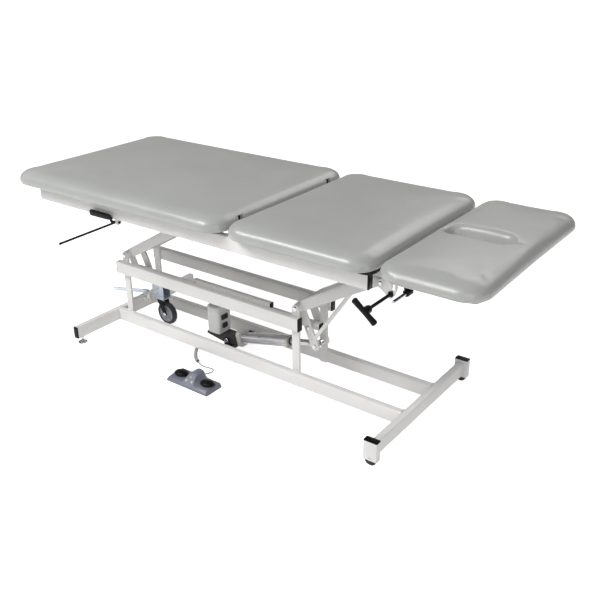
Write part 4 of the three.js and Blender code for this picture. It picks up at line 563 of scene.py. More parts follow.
def add_cords():
    sleeve, sleeve_line = cord_curve("cable_sleeve", SLEEVE_ROUTE, SLEEVE_RADIUS, "switch_sleeve")
    tip, inner, outer = Vector(SLEEVE_ROUTE[-1]), CABLE_RADIUS + 0.2, SLEEVE_RADIUS - 1.4
    grommet = Piece("sleeve_end_grommet", BLACK, "base")
    with grommet as bm:
        profile = [(inner, -3), (outer, -3), (outer, 0.4), (outer - 0.8, 1.4), (inner + 0.8, 1.8), (inner, 1.2)]
        lathe(bm, profile, tip, tip - Vector(SLEEVE_ROUTE[-2]), 24)
    cable, cable_line = cord_curve("switch_lead", CABLE_ROUTE, CABLE_RADIUS, "switch_cable")
    boot = Piece("lead_strain_relief", BLACK, "base")
    with boot as bm:
        bore = CABLE_RADIUS + 0.1
        ribs = [(bore, -13), (bore + 0.6, -13)]
        for i in range(5):
            low, at = bore + 0.6 + 0.32 * i, 2.3 * i
            ribs += [(low + 0.6, at - 12.2), (low + 0.6, at - 11.0), (low, at - 10.7), (low, at - 10.2)]
        ribs += [(bore + 2.9, -0.6), (bore + 2.9, -0.1), (bore, -0.1)]
        lathe(bm, ribs, CABLE_ROUTE[-1], (0, -1, 0), 20)


add_cords()


# Base
def end_cap(name, at, axis, body, *nodes, depth=TUBE_D, up=Z_AXIS):
    """Moulded cap: a lip round the tube's edge, a domed face and the plug inside."""
    u, v, w = frame_axes(axis, up)
    steps = [(-8, 5.2, 2.0), (0, 5.2, 2.0), (0, 0, 4.0), (1.6, 0, 4.0), (2.5, 0.9, 3.6), (3.0, 2.6, 3.0)]
    with Piece(name, BLACK, body, *nodes) as bm:
        stack(bm, lambda h, a, b: Vector(at) + w * h + u * a + v * b,
              [(h, TUBE_W - inset, depth - inset, corner) for h, inset, corner in steps])


def add_base():
    left, right = LEG_X + TUBE_W / 2, BAR_X - TUBE_W / 2
    for side, s in SIDES:
        y = s * RAIL_Y
        with Piece(f"rail_{side}", PAINT, "base", f"base_rail_{side}") as bm:
            tube(bm, (left + GAP, y, BASE_Z), (right - GAP, y, BASE_Z), TUBE_W, TUBE_D)
            for x in (left, right):
                weld_round(bm, (x, y, BASE_Z), X_AXIS, TUBE_W, TUBE_D)
        with Piece(f"upper_rail_{side}", PAINT, "base", f"mid_rail_{side}") as bm:
            tube(bm, (MID_LEFT, y, MID_Z), (MID_RIGHT, y, MID_Z), TUBE_W, TUBE_D)
        end_cap(f"upper_rail_cap_{side}", (MID_RIGHT + CAP_GAP, y, MID_Z), X_AXIS, "base", f"mid_rail_cap_{side}")
        end_cap(f"upper_rail_left_cap_{side}", (MID_LEFT - CAP_GAP, y, MID_Z), (-1, 0, 0), "base")
        end_cap(f"leg_cap_{side}", (LEG_X, s * (LEG_HALF + CAP_GAP), BASE_Z), (0, s, 0), "base",
                f"cross_leg_cap_{side}")
        end_cap(f"foot_tube_cap_{side}", (BAR_X, s * FOOT_Y, FOOT_TOP + CAP_GAP), Z_AXIS, "base",
                f"foot_cap_{side}", up=X_AXIS)
        add_posts(side, s)
        add_glide(side, s)
        add_roller(side, s)
    with Piece("cross_leg", PAINT, "base", "base_cross_leg") as bm:
        tube(bm, (LEG_X, -LEG_HALF, BASE_Z), (LEG_X, LEG_HALF, BASE_Z), TUBE_W, TUBE_D)
    with Piece("right_crossbar", PAINT, "base", "base_crossbar") as bm:
        tube(bm, (BAR_X, -BAR_HALF, BASE_Z), (BAR_X, BAR_HALF, BASE_Z), TUBE_W, TUBE_D)
        for s in (-1, 1):
            y = s * FOOT_Y
            tube(bm, (BAR_X, y, FOOT_LOW), (BAR_X, y, FOOT_TOP), TUBE_W, TUBE_D, up=X_AXIS)
            weld_round(bm, (BAR_X, s * (BAR_HALF - 0.5), BASE_Z), Y_AXIS, TUBE_W, TUBE_D - 2)
            pin_y(bm, BAR_X, y, ROLLER_Z, 11.5, 4, 0.3)
    add_bracket()
    add_inner_bar()


def add_posts(side, s):
    face = s * (RAIL_INNER - 0.1)
    for end, x in (("left", LEFT_X), ("right", RIGHT_X)):
        with Piece(f"upright_{side}_{end}", PAINT, "base", f"post_{side}_{end}", bevel=0.8) as bm:
            foot = [(x - 16, 34), (x - 13, 31), (x + 13, 31), (x + 16, 34)]
            plate(bm, arc_points(x, PIVOT_Z, 16, 0, 180, 18) + foot, 8, s * POST_Y, [circle(x, PIVOT_Z, 6.6)])
            for low, high in ((34, 76), (250, 295)):
                for edge in (x - 15.5, x + 15.5):
                    weld(bm, [(edge, face, low), (edge, face, high)], 1.6)


def add_glide(side, s):
    at = (LEG_X, s * GLIDE_Y, 0)
    thread = [(0, 9.4)]
    for i in range(8):
        thread += [(5.0, 9.6 + 1.25 * i), (4.4, 10.2 + 1.25 * i)]
    with Piece(f"glide_{side}", STEEL, "base", f"levelling_glide_{side}") as bm:
        lathe(bm, [(0, 0.4), (16, 0.0), (18.6, 0.6), (19, 2.2), (18, 4.2), (12, 6.6), (9, 8.6), (6.4, 9.6),
                   (0, 9.6)], at, Z_AXIS, 36)
        lathe(bm, [*thread, (5.0, 20.4), (0, 20.4)], at, Z_AXIS, 20)
        hexagon(bm, (LEG_X, s * GLIDE_Y, 20.3), Z_AXIS, 17, 7.3)


def add_roller(side, s):
    y = s * FOOT_Y
    with Piece(f"fixed_roller_{side}", RUBBER, f"{side}_roller", f"roller_{side}") as bm:
        half = [(4.6, -8.6), (9, -8.6), (10, -7.2), (17, -7.2), (18, -8.8), (20.6, -8.6), (21.8, -7.2), (22, -4)]
        lathe(bm, mirrored(half), (BAR_X, y, ROLLER_Z), Y_AXIS, 40)
    with Piece(f"roller_axle_{side}", STEEL, "base") as bm:
        for way in (-1, 1):
            lathe(bm, [(0, 0), (4.6, 0), (4.2, 1.2), (2.6, 2.0), (0, 2.3)], (BAR_X, y + way * TUBE_W / 2, 24.5),
                  (0, way, 0), 20)


def add_bracket():
    tube_z, foot_z = 40.7, 52.4
    with Piece("motor_bracket", BLACK_PAINT, "base", "actuator_bracket", bevel=0.5) as bm:
        tube(bm, (ACT_X, -90.4, tube_z), (ACT_X, 90.4, tube_z), SQUARE_W, SQUARE_W)
        for s in (-1, 1):
            outline = [(ACT_X - 11.7, foot_z), (ACT_X + 11.7, foot_z), *arc_points(ACT_X, ACT_Z, 11.7, 0, 180, 16)]
            plate(bm, outline, 6, MECH_Y + s * 34.3, [circle(ACT_X, ACT_Z, 6.5)])
    with Piece("motor_pivot_bolt", STEEL, "base") as bm:
        bolt_ends(bm, ACT_X, MECH_Y, ACT_Z, 37.4, 15, 3.2, 18, 5)
        pin_y(bm, ACT_X, MECH_Y, ACT_Z, 38, 6, segments=32)


def add_inner_bar():
    left, right, y, z, stub_x = -347.0, 31.0, -54.0, 285.0, -342.0
    with Piece("square_bar", PAINT, "base", "inner_bar") as bm:
        tube(bm, (left, y, z), (right, y, z), 21, 21, 3.0, 1.6)
        cylinder(bm, (stub_x, -90.4, z), (stub_x, y + 9.5, z), 11, 0.8)
        weld(bm, ring_line((stub_x, y - 10.6, z), X_AXIS, Z_AXIS, 11.6, 24), 1.3)
    steps = ((-5, 17.4, 1.6), (0.1, 17.4, 1.6), (0.1, 21, 3), (1.2, 21, 3), (2.0, 19.2, 2.6), (2.2, 16, 2.2))
    for name, x, s in (("right", right, 1), ("left", left, -1)):
        with Piece(f"square_bar_cap_{name}", BLACK, "base") as bm:
            stack(bm, lambda h, a, b: (x + s * h, y + a, z + b), [(h, w, w, corner) for h, w, corner in steps])


add_base()


# Lift linkage
def arm_outline():
    """Side view of an arm along its own axis, with its rounded tip."""
    start, half, end = 17.3, ARM_D / 2, ARM_L - TUBE_D / 2
    tip = [(x, z) for x, z in arc_points(end, 0, ARM_D, -30, 30) if abs(z) <= half]
    edge = end + math.sqrt(ARM_D ** 2 - half ** 2)
    return [(start, -half), (edge, -half), *tip[1:-1], (edge, half), (start, half)]


def turned(points, x, z, angle):
    c, s = math.cos(angle), math.sin(angle)
    return [(x + px * c - pz * s, z + px * s + pz * c) for px, pz in points]


def add_arm(end, x, side, s):
    with Piece(f"lift_arm_{end}_{side}", PAINT, f"lift_{end}", f"arm_{end}_{side}", bevel=3.2, segments=4) as bm:
        plate(bm, turned(arm_outline(), x, PIVOT_Z, ARM_A), TUBE_W, s * ARM_Y, [circle(x + ARM_RUN, UPPER_Z, 6.5)])


def lever_point(x, reach, angle=LEVER_A):
    return x + reach * math.cos(angle), PIVOT_Z + reach * math.sin(angle)


def add_crank(end, x, driven):
    far, tie = lever_point(x, LEVER_L if driven else TIE_L), lever_point(x, TIE_L)
    with Piece(f"pivot_tube_{end}", PAINT, f"lift_{end}", f"crank_{end}", bevel=0.7) as bm:
        lathe(bm, mirrored([(6.2, -82.2), (16.2, -82.2), (17, -81.4)]), (x, 0, PIVOT_Z), Y_AXIS, 48)
        for s in (-1, 1):
            y = MECH_Y + s * LEVER_Y
            plate(bm, link_outline(x, PIVOT_Z, *far, 32), LEVER_T, y, [circle(*tie, 5.6)])
            for face in (-1, 1):
                weld(bm, ring_line((x, y + face * 4.2, PIVOT_Z), X_AXIS, Z_AXIS, 17.4, 40), 1.5)
                root = turned([(17.6, -19.5), (17.6, 19.5)], x, PIVOT_Z, ARM_A)
                weld(bm, [(px, s * ARM_Y + face * 13.0, pz) for px, pz in root], 1.7)
        if driven:
            add_brace(bm, x)
    with Piece(f"pivot_bolts_{end}", STEEL, f"lift_{end}") as bm:
        bolt_ends(bm, x, 0, PIVOT_Z, 90.9, 17, 5.7, 23, 6)
        pin_y(bm, x, 0, PIVOT_Z, 93, 6)
        bolt_ends(bm, tie[0], MECH_Y, tie[1], 35.2, 13, 4.0, 17, 5)
        pin_y(bm, tie[0], MECH_Y, tie[1], 36, 6)
        if driven:
            bolt_ends(bm, far[0], MECH_Y, far[1], 35.2, 15, 5.6, 19, 6)
            for s in (-1, 1):
                pin_y(bm, far[0], MECH_Y + s * 31.1, far[1], 3.9, 9.6, 0.3, 32)


def add_brace(bm, x):
    """The round rod between the driven lever and the front arm."""
    (x0, z0), (x1, z1) = lever_point(x, 132), lever_point(x, 262, ARM_A)
    start, end = Vector((x0, MECH_Y - LEVER_Y, z0)), Vector((x1, MECH_Y - LEVER_Y, z1))
    stop = start.lerp(end, 0.925)
    cylinder(bm, start, stop, 7, 0.4, 28)
    way = (stop - start).normalized()
    u, v, _ = frame_axes(way)
    for centre in (start + way * 3, stop - way * 0.4):
        weld(bm, [centre + (u * math.cos(t) + v * math.sin(t)) * 7.2 for t in [*round_angles(24), 0.0]], 1.5)


def add_tie_bar():
    x, z = lever_point(RIGHT_X, TIE_L)
    x -= TIE_HALF
    tube_half = 464.0
    with Piece("link_bar", PAINT, "tie_link", "tie_bar") as bm:
        tube(bm, (x - tube_half, MECH_Y, z), (x + tube_half, MECH_Y, z), SQUARE_W, SQUARE_W)
        for s in (-1, 1):
            for face in (-1, 1):
                lathe(bm, [(6.5, 0), (11, 0), (11, 1.4), (9.8, 2.4), (6.5, 2.4)],
                      (x + s * TIE_HALF, MECH_Y + face * SQUARE_W / 2, z), (0, face, 0), 28)
    for name, s in (("left", -1), ("right", 1)):
        end_cap(f"link_bar_cap_{name}", (x + s * (tube_half + 0.1), MECH_Y, z), (s, 0, 0), "tie_link",
                depth=SQUARE_W)


def add_lift():
    for end, x in (("right", RIGHT_X), ("left", LEFT_X)):
        add_crank(end, x, end == "right")
        for side, s in SIDES:
            add_arm(end, x, side, s)
    add_tie_bar()


add_lift()


# Top frame
def add_top_frame():
    for side, s in SIDES:
        y = s * TOP_Y
        with Piece(f"top_side_rail_{side}", PAINT, "top_frame", f"top_rail_{side}") as bm:
            tube(bm, (TOP_LEFT, y, RAIL_MID_Z), (TOP_RIGHT, y, RAIL_MID_Z), TUBE_W, TUBE_D)
            if side == "front":
                lug = [(-321, 590), (-321, 574), (-316, 568.2), (-301.6, 568.2), (-296.6, 574), (-296.6, 590)]
                loft(bm, [[(x, a, z) for a, z in lug] for x in (-457.5, -452.5)])
                for x in (-458, -452):
                    weld(bm, [(x, -320, 589.4), (x, -298, 589.4)], 1.4)
        end_cap(f"top_side_rail_cap_{side}", (TOP_RIGHT + CAP_GAP, y, RAIL_MID_Z), X_AXIS, "top_frame",
                f"top_rail_cap_{side}")
    with Piece("top_end_cross", PAINT, "top_frame", "top_cross_end") as bm:
        cross_body(bm, -841.0, CROSS_Z)
    pivot_cross("left", LEFT_X + ARM_RUN)
    pivot_cross("right", RIGHT_X + ARM_RUN)
    hinge_cross()


def cross_body(bm, x, z):
    tube(bm, (x, -295.8, z), (x, 295.8, z), TUBE_W, CROSS_D)
    for s in (-1, 1):
        weld_round(bm, (x, s * 295.6, z), Y_AXIS, TUBE_W, CROSS_D, radius=1.8)


def pivot_cross(end, x):
    root, right = CROSS_Z - CROSS_D / 2 + 1, end == "right"
    ear = [(x + 12.7, root), (x - 12.7, root), *arc_points(x, UPPER_Z, 12.7, 180, 360, 18)]
    with Piece(f"top_pivot_cross_{end}", PAINT, "top_frame", f"top_cross_{end}", bevel=0.5) as bm:
        cross_body(bm, x, CROSS_Z)
        for s in (-1, 1):
            for inner in (-1, 1):
                y = s * ARM_Y + inner * 15.5
                plate(bm, ear, 5, y, [circle(x, UPPER_Z, 6.4)])
                bead = y + inner * 2.4
                weld(bm, [(x - 12, bead, root - 0.8), (x + 12, bead, root - 0.8)], 1.4)
            if right:
                links = ((x, HEAD_Z, HEAD_X, HEAD_Z, 26, 5.8), (HEAD_X, HEAD_Z, CLAMP_X, CLAMP_Z, 12, 4.4))
                for x0, z0, x1, z1, width, bore in links:
                    plate(bm, link_outline(x0, z0, x1, z1, width), 6, s * CHEEK_Y, [circle(x1, z1, bore)])
    with Piece(f"upper_pivot_bolts_{end}", STEEL, "top_frame") as bm:
        for s in (-1, 1):
            bolt_ends(bm, x, s * ARM_Y, UPPER_Z, 18.1, 13, 3.0, 17, 5)
            pin_y(bm, x, s * ARM_Y, UPPER_Z, 19, 6)
            if right:
                pin_y(bm, HEAD_X, s * CHEEK_Y, HEAD_Z, 8.2, 6)
                for face in (-1, 1):
                    lathe(bm, [(0, 0), (6, 0), (6, 1.6), (4.8, 2.8), (0, 3.0)],
                          (HEAD_X, s * CHEEK_Y + face * 8.3, HEAD_Z), (0, face, 0), 24)


CHEEK_Y = 284.0


def hinge_cross():
    tube_z = HINGE_Z - 47.5 - CROSS_D / 2
    root = tube_z + CROSS_D / 2 - 1
    ear = [(HINGE_X - 11, root), (HINGE_X + 11, root), *arc_points(HINGE_X, HINGE_Z, 11, 0, 180, 16)]
    with Piece("top_hinge_cross", PAINT, "top_frame", "top_cross_hinge", bevel=0.5) as bm:
        cross_body(bm, HINGE_X, tube_z)
        for s in (-1, 1):
            plate(bm, ear, EAR_T, s * HINGE_Y, [circle(HINGE_X, HINGE_Z, 5.8)])
    with Piece("section_hinge_pins", STEEL, "top_frame") as bm:
        for s in (-1, 1):
            pin_y(bm, HINGE_X, s * HINGE_Y + 4.15, HINGE_Z, 8.1, 6, 0.6)


add_top_frame()


# Cushions
CORNER, TOP_ROUND, LOW_ROUND, CROWN, DRAW_IN = 76.0, 32.0, 16.0, 5.0, 3.0
TOP_REACH, LOW_REACH = 42.0, 20.0
POCKET_RADIUS, POCKET_WIDTH = 12.4, 34.0
VOXEL, QUICK_VOXEL, SHRINK = 6.0, 9.0, 1.4
SWELL_CAP, PRESSURE, CLOTH_FRAMES = 2.2, 4, 20
STRETCH_STIFFNESS, BENDING_STIFFNESS = 40, 12
SLOT_ROLL, SLOT_DROP = 20.0, 13.0


def cushion_ring(length, width, inset, height, pull, steps=8, sides=16):
    radius = max(CORNER - inset, CORNER / 8)
    outline = rounded_rect(length - 2 * inset, width - 2 * inset, radius, steps)
    points = []
    for index in range(4):
        corner = outline[index * (steps + 1):(index + 1) * (steps + 1)]
        points.extend(corner)
        last, following = corner[-1], outline[(index + 1) * (steps + 1) % len(outline)]
        along_x = abs(following[0] - last[0]) > abs(following[1] - last[1])
        for i in range(1, sides):
            share = i / sides
            x = last[0] + (following[0] - last[0]) * share
            y = last[1] + (following[1] - last[1]) * share
            drawn = DRAW_IN * pull * math.sin(math.pi * share)
            points.append((x, y - math.copysign(drawn, y)) if along_x else (x - math.copysign(drawn, x), y))
    return [(x, y, height) for x, y in points]


def cushion_body(bm, length, width, shrink):
    """Closed crowned pad about the origin, its underside at height 0."""
    length, width, thick = length - 2 * shrink, width - 2 * shrink, CUSHION_T - shrink
    edge = thick - CROWN
    rings = []
    for i in range(7):
        t = math.pi / 2 * i / 6
        rings.append((LOW_REACH * (1 - math.sin(t)), LOW_ROUND * (1 - math.cos(t)), i / 6))
    for i in range(9):
        t = math.pi / 2 * i / 8
        rings.append((TOP_REACH * (1 - math.cos(t)), edge - TOP_ROUND * (1 - math.sin(t)), 1))
    half = min(length, width) / 2
    for share in (0.12, 0.26, 0.42, 0.6, 0.8):
        inset = TOP_REACH + (half - TOP_REACH) * share
        rise = 1 - ((half - inset) / (half - TOP_REACH)) ** 2
        rings.append((inset, edge + CROWN * rise, 1 - share))
    loft(bm, [cushion_ring(length, width, inset, height, pull) for inset, height, pull in rings])


def slot_distance(x, y):
    """How far outside the nose slot's rounded edge a point lies, in millimetres."""
    dx = max(abs(x - SLOT_X) - (SLOT_LENGTH / 2 - SLOT_WIDTH / 2), 0)
    return math.hypot(dx, y) - SLOT_WIDTH / 2


def swell(piece):
    """Inflates the remeshed pad a little as cloth, its underside held, with a cap on each point's move."""
    rest = [v.co.copy() for v in piece.data.vertices]
    held = piece.vertex_groups.new(name="held")
    low = min(p.z for p in rest)
    held.add([i for i, p in enumerate(rest) if p.z < low + 10 * MM], 1.0, "REPLACE")
    cloth = piece.modifiers.new("cloth", "CLOTH")
    cloth.settings.use_pressure = True
    cloth.settings.uniform_pressure_force = PRESSURE
    cloth.settings.effector_weights.gravity = 0
    cloth.settings.vertex_group_mass = "held"
    cloth.settings.quality = 4
    cloth.settings.tension_stiffness = STRETCH_STIFFNESS
    cloth.settings.compression_stiffness = STRETCH_STIFFNESS
    cloth.settings.bending_stiffness = BENDING_STIFFNESS
    cloth.point_cache.frame_start = 1
    cloth.point_cache.frame_end = CLOTH_FRAMES
    for step in range(1, CLOTH_FRAMES + 1):
        scene.frame_set(step)
    graph = bpy.context.evaluated_depsgraph_get()
    moved = [v.co.copy() for v in piece.evaluated_get(graph).data.vertices]
    piece.modifiers.remove(cloth)
    piece.vertex_groups.clear()
    for vertex, start, end in zip(piece.data.vertices, rest, moved):
        move = end - start
        limit = SWELL_CAP * MM
        vertex.co = start + (move if move.length <= limit else move.normalized() * limit)
    scene.frame_set(1)


def pleat(piece, centre_x, length, width):
    """Gathers at the four lower corners, and a faint unevenness of the upper cover."""
    half_x, half_y = length / 2 - CORNER, width / 2 - CORNER
    for vertex in piece.data.vertices:
        x, y, z = vertex.co.x / MM - centre_x, vertex.co.y / MM - ROW_SHIFT_Y, vertex.co.z / MM - CUSHION_LOW
        dx, dy = abs(x) - half_x, abs(y) - half_y
        if dx > 0 and dy > 0 and z < 34:
            angle = math.atan2(dy, dx)
            reach = math.hypot(dx, dy) / CORNER
            fade = max(0.0, 1 - abs(z - 12) / 22) * max(0.0, min(1.0, (reach - 0.6) / 0.3))
            fold = math.sin(angle * 15) * 1.1 * fade * math.sin(2 * angle)
            way = Vector((math.copysign(math.cos(angle), x), math.copysign(math.sin(angle), y), 0))
            vertex.co += way * fold * MM
        elif z > 20:
            vertex.co.z += noise.noise(Vector((x / 90, y / 90, 3.1))) * 0.4 * MM


def dip_slot(piece):
    """Rolls the cover down into the nose slot."""
    for vertex in piece.data.vertices:
        distance = slot_distance(vertex.co.x / MM, vertex.co.y / MM - ROW_SHIFT_Y)
        height = vertex.co.z / MM - CUSHION_LOW
        if distance < SLOT_ROLL and height > 20:
            share = max(0.0, 1 - max(distance, 0) / SLOT_ROLL)
            vertex.co.z -= SLOT_DROP * share ** 2.4 * MM * min(1.0, (height - 20) / 20)


def cut_slot(piece, margin, radius, low, high, steps):
    """Cuts the nose slot, widened by margin, straight through a piece."""
    tool = bmesh.new()
    stack(tool, lambda z, a, b: (SLOT_X + a, b, z),
          [(z, SLOT_LENGTH + margin, SLOT_WIDTH + margin, SLOT_WIDTH / 2 + radius) for z in (low, high)], steps)
    subtract(piece, tool)


def cut_pockets(piece):
    """Room in the long cushion for the hinge ears, through the section's whole tilt."""
    low, past = CUSHION_LOW - 10, LONG_RIGHT + 9
    outline = [(HINGE_X - POCKET_RADIUS, low), (past, low), (past, HINGE_Z + 2.6),
               *arc_points(HINGE_X, HINGE_Z, POCKET_RADIUS, 75, 180, 10)]
    tool = bmesh.new()
    for s in (-1, 1):
        plate(tool, outline, POCKET_WIDTH, s * HINGE_Y + 4.15)
    subtract(piece, tool)


def smooth(piece, iterations):
    modifier = piece.modifiers.new("smooth", "SMOOTH")
    modifier.factor = 0.5
    modifier.iterations = iterations
    applied(piece)


def cushion(name, node, body, left, right):
    length, centre = right - left, (left + right) / 2
    piece = Piece(name, VINYL, body, node, angle=180)
    with piece as bm:
        cushion_body(bm, length, 2 * HALF_W, SHRINK)
        bmesh.ops.translate(bm, verts=bm.verts, vec=(centre, 0, CUSHION_LOW))
    pad = piece.object
    if name == "pad_head":
        cut_slot(pad, 0, -0.2, CUSHION_LOW - 20, CUSHION_LOW + 90, 12)
    remesh = pad.modifiers.new("remesh", "REMESH")
    remesh.mode = "VOXEL"
    remesh.voxel_size = VOXEL * MM
    remesh.use_smooth_shade = True
    applied(pad)
    smooth(pad, 3)
    swell(pad)
    smooth(pad, 10)
    if name == "pad_head":
        dip_slot(pad)
    pleat(pad, centre, length, 2 * HALF_W)
    fine = pad.modifiers.new("fine", "SUBSURF")
    fine.levels = 1
    fine.render_levels = 1
    if name == "pad_long":
        applied(pad)
        cut_pockets(pad)
    if not pad.data.materials:
        pad.data.materials.append(VINYL)
    pad.data.polygons.foreach_set("use_smooth", [True] * len(pad.data.polygons))


cushion("pad_long", "cushion_long", "long_section", -TABLE_END, LONG_RIGHT)
cushion("pad_centre", "cushion_centre", "top_frame", CENTRE_LEFT, CENTRE_RIGHT)
cushion("pad_head", "cushion_head", "head_section", HEAD_LEFT, TABLE_END)


# Pans under the cushions
PAN_LOW, PAN_TOP, PAN_SIDE = 640.4, 649.5, 334.8
PAN_SHEET = 1.8
PAN_PROFILE = [(13.0, 1.5), (13.0, 0.0), (1.6, 0.0), (0.4, 0.5), (0.0, 1.6), (0.0, 5.6), (0.6, 7.6), (2.0, 8.8),
               (3.8, 9.1)]
BEAD_YS = (-200, -70, 70, 200)
QUADRANT_Y, RELEASE_X, RELEASE_Y, RELEASE_Z = 289.8, 674.0, -259.0, 622.0


def pan_shell(bm, left, right):
    """Pressed tray, open below, with a return lip round its rim."""
    centre, length, width = (left + right) / 2, right - left, 2 * PAN_SIDE

    def ring(inset, height):
        outline = rounded_rect(length - 2 * inset, width - 2 * inset, 30 - min(inset, 20), 8)
        return ring_of(bm, [(centre + x, y, PAN_LOW + height) for x, y in outline])

    outer = [ring(inset, height) for inset, height in PAN_PROFILE]
    inner = [ring(3.8, 9.1 - PAN_SHEET), ring(1.9, 6.6), ring(1.8, 1.5)]
    connect(bm, outer)
    bm.faces.new(outer[-1])
    connect(bm, inner)
    bm.faces.new(list(reversed(inner[0])))
    connect(bm, [inner[-1], outer[0]])


def pan_beads(bm, left, right):
    """Stiffening beads pressed down into the tray's sheet."""
    for y in BEAD_YS:
        line = resample([(left, y, PAN_TOP - 2.4), (right, y, PAN_TOP - 2.4)], 20)
        sweep(bm, line, tapered(3.6, 0.15, 14), 10)


def pan_screws(bm, xs, ys):
    """Round-headed screws that hold the board of the cushion down on its tray."""
    profile = [(0, 0), (5.2, 0), (5.2, -0.7), (4.2, -1.9), (2.2, -2.6), (1.5, -2.6), (1.2, -1.4), (0, -1.4)]
    for x in xs:
        for y in ys:
            lathe(bm, profile, (x, y, PAN_TOP - PAN_SHEET), Z_AXIS, 18)


def add_pans():
    with Piece("tray_centre", BLACK_PAINT, "top_frame", "pan_centre") as bm:
        pan_shell(bm, CENTRE_LEFT + PAN_INSET, CENTRE_RIGHT - PAN_INSET)
        pan_beads(bm, 116, 553)
        pan_screws(bm, (136, 533), (-260, 0, 260))
    with Piece("tray_long", BLACK_PAINT, "long_section", "pan_long", bevel=0.4) as bm:
        pan_shell(bm, PAN_END_INSET - TABLE_END, HINGE_X - 16.2)
        pan_beads(bm, -915, -34)
        pan_screws(bm, (-890, -460, -44), (-150, 0, 150))
        low = PAN_LOW - HINGE_Z
        ear = [(-38, low), (10, low), (12, 0), *arc_points(0, 0, 12, 5, 180, 16), (-12, low + 7.4), (-38, low + 7.4)]
        for s in (-1, 1):
            plate(bm, [(HINGE_X + x, HINGE_Z + z) for x, z in ear], EAR_T, s * HINGE_Y + 8.3,
                  [circle(HINGE_X, HINGE_Z, 6.4)])
    tray = Piece("tray_head", BLACK_PAINT, "head_section", "pan_head")
    with tray as bm:
        pan_shell(bm, HEAD_LEFT + PAN_INSET, TABLE_END - PAN_END_INSET)
        pan_screws(bm, (645, 915), (-250, 250))
    cut_slot(tray.object, 16, 7.8, PAN_LOW - 20, PAN_TOP + 20, 10)
    rings = ((-5.0, -0.2), (-5.0, -1.8), (-1.5, -2.6), (0.6, -1.8), (0.6, 8.6), (-0.4, 8.6))
    with Piece("face_slot_rim", BLACK, "head_section") as bm:
        rim = []
        for inset, height in rings:
            outline = rounded_rect(SLOT_LENGTH + 15 - 2 * inset, SLOT_WIDTH + 15 - 2 * inset,
                                   SLOT_WIDTH / 2 + 7.3 - inset, 10)
            rim.append(ring_of(bm, [(SLOT_X + x, y, PAN_TOP - PAN_SHEET + height * 0.7) for x, y in outline]))
        connect(bm, rim, loop=True)
    add_quadrants()


def sector_outline():
    """The quadrant's edge and its curved slot, about the head section's pivot."""
    reach, clamp = 53.4, math.hypot(CLAMP_X - HEAD_X, CLAMP_Z - HEAD_Z)
    start = math.degrees(math.atan2(CLAMP_Z - HEAD_Z, CLAMP_X - HEAD_X))
    end, margin, half = start + 60, 14.85, 4.4
    outer = arc_points(0, 0, 13, 90, 240, 16) + arc_points(0, 0, reach, start - margin, end + margin, 26)
    outer += [(outer[-1][0], 40.7), (HEAD_LEFT + PAN_INSET - HEAD_X, 40.7)]

    def slot_end(angle, first):
        at = (clamp * math.cos(math.radians(angle)), clamp * math.sin(math.radians(angle)))
        return arc_points(*at, half, first, first + 180, 8)[1:-1]

    slot = (arc_points(0, 0, clamp + half, start, end, 20) + slot_end(end, end)
            + arc_points(0, 0, clamp - half, end, start, 20) + slot_end(start, start + 180))
    return [[(HEAD_X + x, HEAD_Z + z) for x, z in points] for points in (outer, slot)]


def add_quadrants():
    outline, slot = sector_outline()
    with Piece("head_quadrants", PAINT, "head_section", bevel=0.6) as bm:
        for s in (-1, 1):
            y = s * QUADRANT_Y
            plate(bm, outline, 5, y, [slot, circle(HEAD_X, HEAD_Z, 6.4)])
            weld(bm, [(626, y + 2.6, 647.6), (657, y + 2.6, 647.6)], 1.2)
    with Piece("release_clevis", PAINT, "head_section", bevel=0.4) as bm:
        left, right, top = RELEASE_X - 6.3, RELEASE_X + 6.3, 648.6
        lug = [(left, top), (left, RELEASE_Z), *arc_points(RELEASE_X, RELEASE_Z, 6.3, 180, 360, 14), (right, top)]
        for s in (-1, 1):
            plate(bm, lug, 5, RELEASE_Y + s * 6.8, [circle(RELEASE_X, RELEASE_Z, 2.7)])
    with Piece("release_pin", STEEL, "head_section") as bm:
        pin_y(bm, RELEASE_X, RELEASE_Y, RELEASE_Z, 9.6, 2.5, segments=20)
        for s in (-1, 1):
            lathe(bm, [(0, 0), (4.2, 0), (4.2, 0.8), (2.4, 1.6), (0, 1.7)], (RELEASE_X, RELEASE_Y + s * 9.4, RELEASE_Z),
                  (0, s, 0), 18)


add_pans()

# Head section controls
CROSS_BAR_X, CROSS_BAR_Z = 692.0, 588.0
TEE_Y, TEE_HALF, TEE_TILT = -432.0, 46.0, math.radians(-38)


